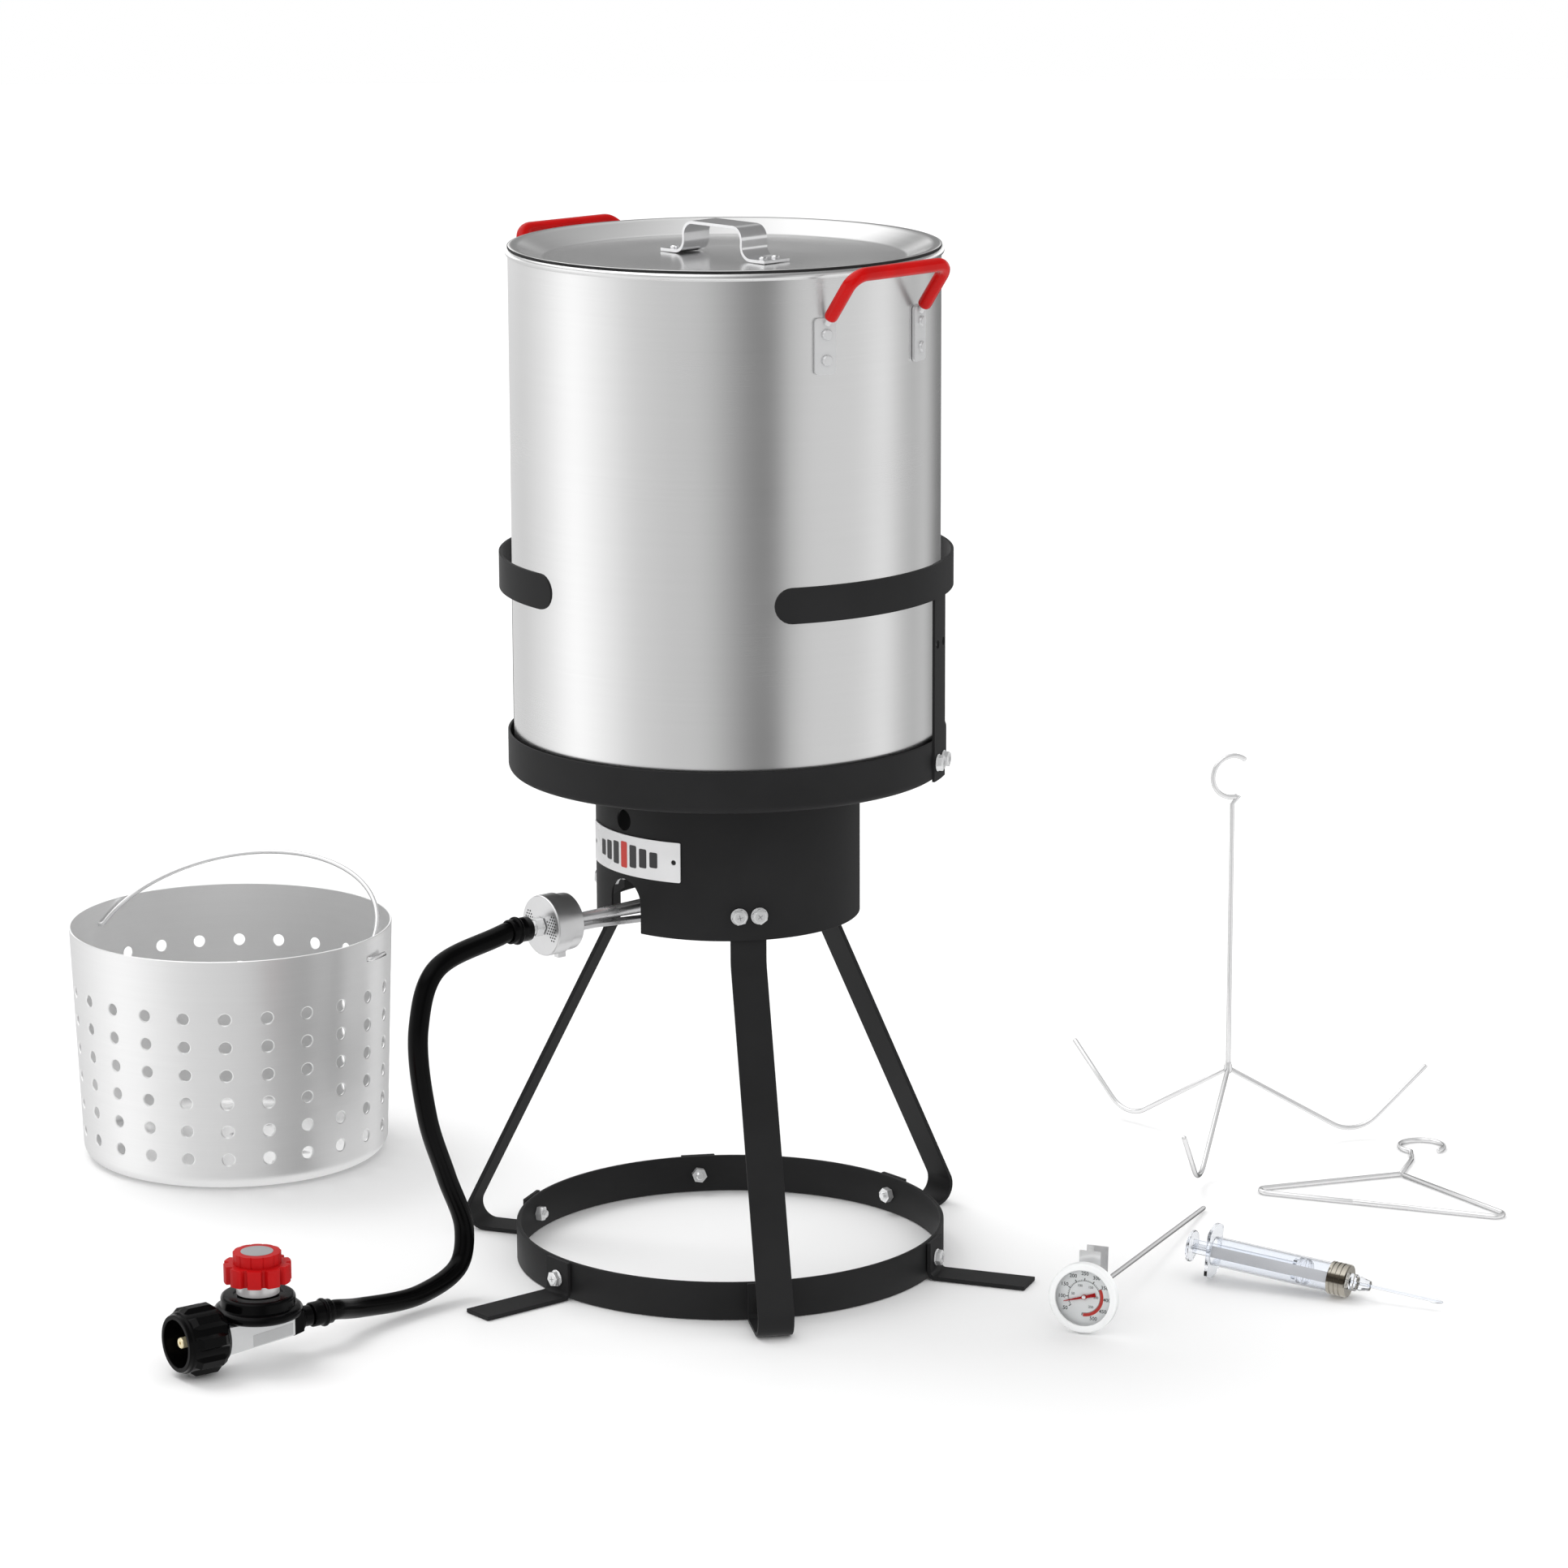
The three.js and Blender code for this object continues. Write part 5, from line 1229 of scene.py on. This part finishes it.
def build_rack():
    hub = 66
    hook = [Vector((0, -y, z)) for y, z in arc(0, 302, 16.5, -110, 130, 32)]
    stem = [Vector((0, 0, hub - 1)), Vector((0, 0, 150)), Vector((0, 0, 280))]
    upright = wire([*stem, *hook]).moved(spun(-72))
    parts = [upright]
    for turn in (0, 120, 240):
        line = rounded([(0, 0, hub), (108, 0, WIRE_R), (166, 0, 56.5)], 30, 14)
        parts.append(wire(line).moved(spun(RACK_TURN + turn)))
    weld = [(0, hub - 4.5), (2.2, hub - 4), (3.4, hub - 1), (3.1, hub + 2), (1.9, hub + 5), (0, hub + 5.2)]
    parts.append(lathe(weld, 20))
    at = Matrix.Translation(RACK + UP * 0.05)
    piece("rack_wires", total(parts).moved(at), BRIGHT_WIRE, body="rack", nodes=["poultry_rack"],
          angle=60)


def build_lifter():
    left, right, apex = (Vector((x, y, WIRE_R)) for x, y in ((393, 146), (597, 69), (520, 187)))
    base = left.lerp(right, 0.4)
    loop = rounded([base, right, apex.lerp(right, 0.02)], 7, 12)
    loop_back = rounded([apex, left, base.lerp(right, 0.02)], 7, 12)
    hook = [Vector((x, y, WIRE_R)) for x, y in arc(545, 262, 17.5, 235, -50, 40)]
    neck = [apex, Vector((533, 226, WIRE_R)), *hook]
    parts = [wire(line) for line in (loop, loop_back, neck)]
    piece("lifter_wire", total(parts), BRIGHT_WIRE, body="lifter", nodes=["rack_lifter"],
          angle=60)


# ------------------------------------------------------------------ thermometer
def build_thermometer():
    out = (DIAL - STEM_TIP).normalized()
    across = UP.cross(out).normalized()
    at = basis(across, out.cross(across), out, DIAL)
    length = (DIAL - STEM_TIP).length
    r = 25.2
    tip = [(0, -length), (0.9, -length + 0.2), (1.5, -length + 1.5), (1.75, -length + 4)]
    stem = lathe(tip + [(1.75, -8), (0, -8)], 28)
    hub = lathe([(0, -8.2), (3.6, -8.2), (4, -7.8), (4, -4.8), (0, -4.8)], 6)
    piece("thermometer_stem", (stem + hub).moved(at), BRIGHT_WIRE, body="thermometer",
          angle=40)
    case = (
        [(0, -5), (r - 3.4, -5)] + arc(r - 1.6, -3.4, 1.6, 250, 360, 6) + [(r, 1.4)]
        + arc(r - 2.2, 1.8, 2.2, 0, 75, 6) + [(21.0, 3.4)] + arc(20.9, 2.7, 0.7, 90, 180, 4)
        + [(20.2, 1.9), (r - 1.4, 1.9), (r - 1.4, -3.6), (0, -3.6)]
    )
    piece("thermometer_bezel", lathe(case, 128).moved(at), BEZEL_WHITE, body="thermometer",
          nodes=["thermometer_case"], angle=35)
    dial = lathe([(1.2, -2.6), (23.3, -2.6), (23.3, -2.0), (1.2, -2.0)], 96)
    piece("dial_plate", dial.moved(at), DIAL_WHITE, body="thermometer", nodes=["thermometer_dial"],
          angle=30)
    lens = lathe([(0, 1.2), (20.0, 1.2), (20.1, 1.3), (20.1, 1.7), (20.0, 1.8), (0, 1.9)], 96)
    piece("dial_lens", lens.moved(at), LENS_GLASS, body="thermometer", nodes=["thermometer_lens"],
          angle=40)
    build_dial_print(at)
    half = [(-8.8, -1.45), (-2.2, -0.95), (-1.2, -1.5), (0, -1.9), (1.2, -1.4), (2.4, -0.8), (15.6, -0.2)]
    needle = half + [(x, -y) for x, y in reversed(half)]
    spin = spun(-164)
    pointer = extruded(needle, -1.2, -0.7) + cylinder(0.9, -2.7, -0.9, 20)
    piece("pointer_needle", pointer.moved(at @ spin), RED_PLASTIC, body="pointer",
          nodes=["thermometer_pointer"], angle=30)
    boss = lathe([(0, -0.72), (1.5, -0.72), (1.4, -0.2), (0, 0.1)], 28)
    piece("pointer_boss", boss.moved(at), SPUN_STEEL, body="pointer", angle=30)
    build_clip(at)


def bearing(angle, radius):
    """A place on the dial at a clockwise angle from the top."""
    a = math.radians(angle)
    return radius * math.sin(a), radius * math.cos(a)


def build_dial_print(at):
    """Ticks, an outer scale in Fahrenheit, an inner one in Celsius, and a red band."""
    face = -1.98
    first, per_step, steps = 236, 31.0, 10
    black = []
    for k in range(5 * steps + 1):
        main = k % 5 == 0
        outer = 13.6 if main else 12.6
        half = 0.34 if main else 0.16
        angle = first + per_step * (k // 5 + k % 5 / 5)
        black.append(block(-half, half, 11.7, outer, face, face + 0.05).moved(spun(-angle)))
    start, end = 90 - first, 90 - (first + steps * per_step)
    black.append(strip_of(arc(0, 0, 11.75, start, end, 90) + arc(0, 0, 11.5, end, start, 90), face))
    for k in range(steps):
        x, y = bearing(first + per_step * k, 16.8)
        black.append(lettering(str(50 * (k + 1)), 3.7).shifted(x, y, face + 0.05))
    for number in (50, 100, 150, 200, 250):
        fahrenheit = number * 1.8 + 32
        x, y = bearing(first + per_step * (fahrenheit - 50) / 50, 8.6)
        black.append(lettering(str(number), 2.5).shifted(x, y, face + 0.05))
    piece("dial_figures", total(black).moved(at), PRINT_BLACK, body="thermometer")
    start, end = 90 - (first + per_step * 6), 90 - (first + per_step * 9.9)
    band = strip_of(arc(0, 0, 14.2, start, end, 60) + arc(0, 0, 11.9, end, start, 60), face + 0.04)
    piece("dial_hot_band", band.moved(at), PRINT_RED, body="thermometer")


def strip_of(outline, z):
    """A thin band between two arcs that were given as one outline."""
    n = len(outline) // 2
    outer, inner = outline[:n], outline[n:][::-1]
    points = [(x, y, z + 0.05) for x, y in outer] + [(x, y, z + 0.05) for x, y in inner]
    faces = [(i, i + 1, n + i + 1, n + i) for i in range(n - 1)]
    return Shape(points, faces)


def build_clip(at):
    top = 31
    bend = rounded([(-9, top, 0), (-9, 4, 0), (-2.5, -4, 0), (2.5, -4, 0), (9, 4, 0), (9, top, 0)], 3, 6)
    sheet = ribbon(bend, 0.8, 16).moved(spun(90, "Y"))
    clip = sheet.shifted(0, 0, -22)
    bore = cylinder(2.05, -60, 20, 28)
    piece("clip_sheet", clip.moved(at), CLIP_STEEL, body="clip", nodes=["thermometer_clip"],
          bevel=0.15, cutters=[bore.moved(at)])


# ------------------------------------------------------------------ injector
def build_injector():
    along = (NEEDLE_TIP - THUMB).normalized()
    across = along.cross(UP).normalized()
    at = basis(across, along.cross(across), along, THUMB)
    sleeve = lathe([(9.6, 17), (10.8, 17), (10.8, 114), (9.6, 114)], 64)
    flange = [(max(-13.5, min(13.5, x)), y) for x, y in circle(20.5, 64)]
    plate = extruded(flange, 16, 18.4)
    piece("barrel_sleeve", sleeve.moved(at), CLEAR_PLASTIC, body="injector", nodes=["injector_barrel"],
          angle=40)
    piece("barrel_flange", plate.moved(at), CLEAR_PLASTIC, body="injector", angle=40,
          cutters=[cylinder(9.6, 10, 30, 64).moved(at)])
    thumb = lathe([(0, -1.2), (11.2, -1.2), (11.7, -0.7), (11.7, 0.7), (11.2, 1.2), (0, 1.2)], 64)
    ribs = [block(-5.2, 5.2, -0.9, 0.9, 0.5, 82), block(-0.9, 0.9, -5.2, 5.2, 0.5, 82)]
    piece("plunger_rod", (thumb + total(ribs) + cylinder(7.6, 80, 82.6, 48)).moved(at), CLEAR_PLASTIC,
          body="plunger", nodes=["injector_plunger"], angle=40)
    seal = lathe([(0, 82.9), (8, 82.9), (9.3, 84.3), (9.3, 86), (8.7, 86.6), (8.7, 88.6), (9.3, 89.2),
                  (9.3, 91), (8, 92.5), (0, 92.5)], 48)
    piece("plunger_seal", seal.moved(at), SEAL_PLASTIC, body="plunger", nodes=["injector_seal"],
          angle=40)
    cap = [(11.1, 108.6), (12.0, 108.6), (12.2, 109)]
    for groove in (111, 114.5, 118):
        cap += [(12.2, groove), (11.6, groove + 0.15), (11.6, groove + 0.95), (12.2, groove + 1.1)]
    cap += [(12.2, 122), (11.6, 123), (3, 123), (3, 119), (11.1, 119)]
    piece("barrel_cap", lathe(cap, 72).moved(at), SMOKED_CHROME_PAINTED_REFLECTION, body="injector", nodes=["injector_cap"],
          angle=30)
    # An opaque grey strip runs along the barrel's upper front side.
    angles = [-37 + 43 * k / 12 for k in range(13)]
    outline = [polar(10.98, a) for a in angles] + [polar(10.83, a) for a in reversed(angles)]
    piece("barrel_strip", extruded(outline, 18.6, 108.4).moved(at), STRIP_GREY, body="injector",
          angle=40)
    hub = lathe([(0.9, 114.4), (9, 114.4), (9, 118.6), (2.7, 118.6), (2.7, 123.4), (6.4, 124), (6.2, 128),
                 (4.6, 129.5), (5.2, 131), (4.8, 133), (3.6, 138.6), (1.2, 139.5), (0.9, 138)], 40)
    piece("needle_hub", hub.moved(at), CLEAR_PLASTIC, body="injector", nodes=["injector_nozzle"],
          angle=40)
    needle = lathe([(1.2, 137), (1.2, 184), (1.9, 186), (1.7, 190), (0.7, 194.3), (0.4, 194.3), (0.4, 137)],
                   32)
    piece("needle_tube", needle.moved(at), CLEAR_PLASTIC, body="injector", angle=40)


# ------------------------------------------------------------------ stage
def build_stage():
    reach, below = 9000, -0.4
    corners = [(-reach, -reach, below), (reach, -reach, below), (reach, reach, below), (-reach, reach, below)]
    floor = Shape(corners, [(0, 1, 2, 3)])
    material, nodes, shader = new_material("pale_floor")
    patches = nodes.noise(nodes.place(), 2.0, 2)
    tone = nodes.mix(patches, (0.94, 0.94, 0.94), (0.955, 0.955, 0.955))
    connect(nodes, shader, color=tone, rough=0.6, specular=0.2)
    mesh = mesh_of("floor", floor)
    mesh.materials.append(material)
    obj = bpy.data.objects.new("floor", mesh)
    bpy.context.collection.objects.link(obj)
    obj.visible_glossy = False


# Brightness of the studio seen in reflections near the horizon, by direction: degrees from the front,
# positive to the right. A broad light stands at the left and a weaker one at the right, with a grey
# gap between.
STUDIO = [(-180, 0.50), (-172, 0.72), (-150, 0.66), (-136, 0.64), (-111, 0.82), (-88, 1.12), (-68, 0.90),
          (-48, 0.66), (-28, 0.58), (-14, 0.57), (-2, 0.44), (10, 0.27), (20, 0.17), (26, 0.18), (34, 0.52),
          (45, 0.64), (74, 0.64), (94, 0.84), (108, 0.54), (120, 0.42), (133, 0.60), (150, 0.19), (168, 0.11),
          (180, 0.50)]
HORIZON_GAP = 0.27
FLOOR_SEEN = 0.86


def build_light():
    world = bpy.data.worlds.new("studio")
    bpy.context.scene.world = world
    world.use_nodes = True
    world.node_tree.nodes.clear()
    nodes = Nodes(world.node_tree)
    direction = nodes.add("ShaderNodeTexCoord").outputs["Generated"]
    parts = nodes.add("ShaderNodeSeparateXYZ", {0: direction}).outputs
    azimuth = nodes.math("ARCTAN2", parts[0], nodes.math("MULTIPLY", parts[1], -1.0))
    turn = nodes.ramp(azimuth, -math.pi, math.pi, 0, 1)
    ramp = nodes.add("ShaderNodeValToRGB", {"Fac": turn})
    stops = ramp.color_ramp.elements
    while len(stops) > 1:
        stops.remove(stops[-1])
    brightest = max(value for _, value in STUDIO)
    for k, (angle, value) in enumerate(STUDIO):
        stop = stops[0] if k == 0 else stops.new((angle + 180) / 360)
        stop.position = (angle + 180) / 360
        level = value / brightest
        stop.color = (level, level, level, 1)
    grey = HORIZON_GAP / brightest
    # Two lights stand behind the object just above the horizon, the brighter one to the left.
    to_left = nodes.ramp(parts[0], -0.16, -0.07, 1.60 / brightest, 0.24 / brightest)
    to_right = nodes.ramp(parts[0], 0.07, 0.16, 0.24 / brightest, 1.20 / brightest)
    behind_low = nodes.math("MAXIMUM", to_left, to_right)
    at_back = nodes.math("MULTIPLY", nodes.ramp(parts[1], 0.6, 0.85, 0, 1),
                         nodes.ramp(parts[2], -0.12, -0.03, 0, 1))
    seen = nodes.mix(at_back, ramp.outputs["Color"], nodes.grey(behind_low))
    seen = nodes.mix(nodes.ramp(parts[2], 0.20, 0.28, 0, 1), seen, (grey, grey, grey))
    sky = nodes.grey(nodes.ramp(parts[0], -0.35, 0.30, 1.55 / brightest, 0.24 / brightest))
    seen = nodes.mix(nodes.ramp(parts[2], 0.34, 0.60, 0, 1), seen, sky)
    low = FLOOR_SEEN / brightest
    seen = nodes.mix(nodes.ramp(parts[2], -0.68, -0.48, 1, 0), seen, (low, low, low))
    reflected = nodes.add("ShaderNodeBackground", {"Color": seen, "Strength": brightest}).outputs[0]
    even = nodes.add("ShaderNodeBackground", {"Color": (1, 1, 1, 1), "Strength": 1.08}).outputs[0]
    behind = nodes.add("ShaderNodeBackground", {"Color": (1, 1, 1, 1), "Strength": 1.0}).outputs[0]
    path = nodes.add("ShaderNodeLightPath").outputs
    first = nodes.add("ShaderNodeMixShader", {0: path["Is Glossy Ray"], 1: even, 2: reflected}).outputs[0]
    second = nodes.add("ShaderNodeMixShader", {0: path["Is Camera Ray"], 1: first, 2: behind}).outputs[0]
    nodes.add("ShaderNodeOutputWorld", {"Surface": second})

    sun = bpy.data.lights.new("key", "SUN")
    sun.energy = 0.75
    sun.angle = math.radians(28)
    key = bpy.data.objects.new("key", sun)
    bpy.context.collection.objects.link(key)
    key.rotation_euler = Vector((0.45, -0.40, -1)).to_track_quat("-Z", "Y").to_euler()
    key.visible_glossy = False


def build_camera():
    """The viewpoint: 3.9 m in front of the stand, looking 12.9 degrees down through a long lens."""
    camera = bpy.data.cameras.new("camera")
    camera.sensor_width = 36
    camera.lens = 124.49
    camera.clip_end = 60
    obj = bpy.data.objects.new("camera", camera)
    bpy.context.collection.objects.link(obj)
    pitch, roll = math.radians(12.882), math.radians(-0.204)
    forward = Vector((0, math.cos(pitch), -math.sin(pitch)))
    right = Vector((1, 0, 0))
    up = right.cross(forward)
    turned_right = right * math.cos(roll) + up * math.sin(roll)
    turned_up = up * math.cos(roll) - right * math.sin(roll)
    obj.matrix_world = basis(turned_right, turned_up, -forward, AXIS + Vector((0.04112, -3.85981, 1.24038)))
    bpy.context.scene.camera = obj


for build in (build_shroud, build_plate, build_legs, build_ring, build_guard, build_fasteners, build_burner,
              build_intake, build_hose, build_regulator, build_pot, build_lid, build_basket, build_rack,
              build_lifter, build_thermometer, build_injector, build_stage, build_light, build_camera):
    build()
bpy.context.scene.view_settings.view_transform = "Standard"
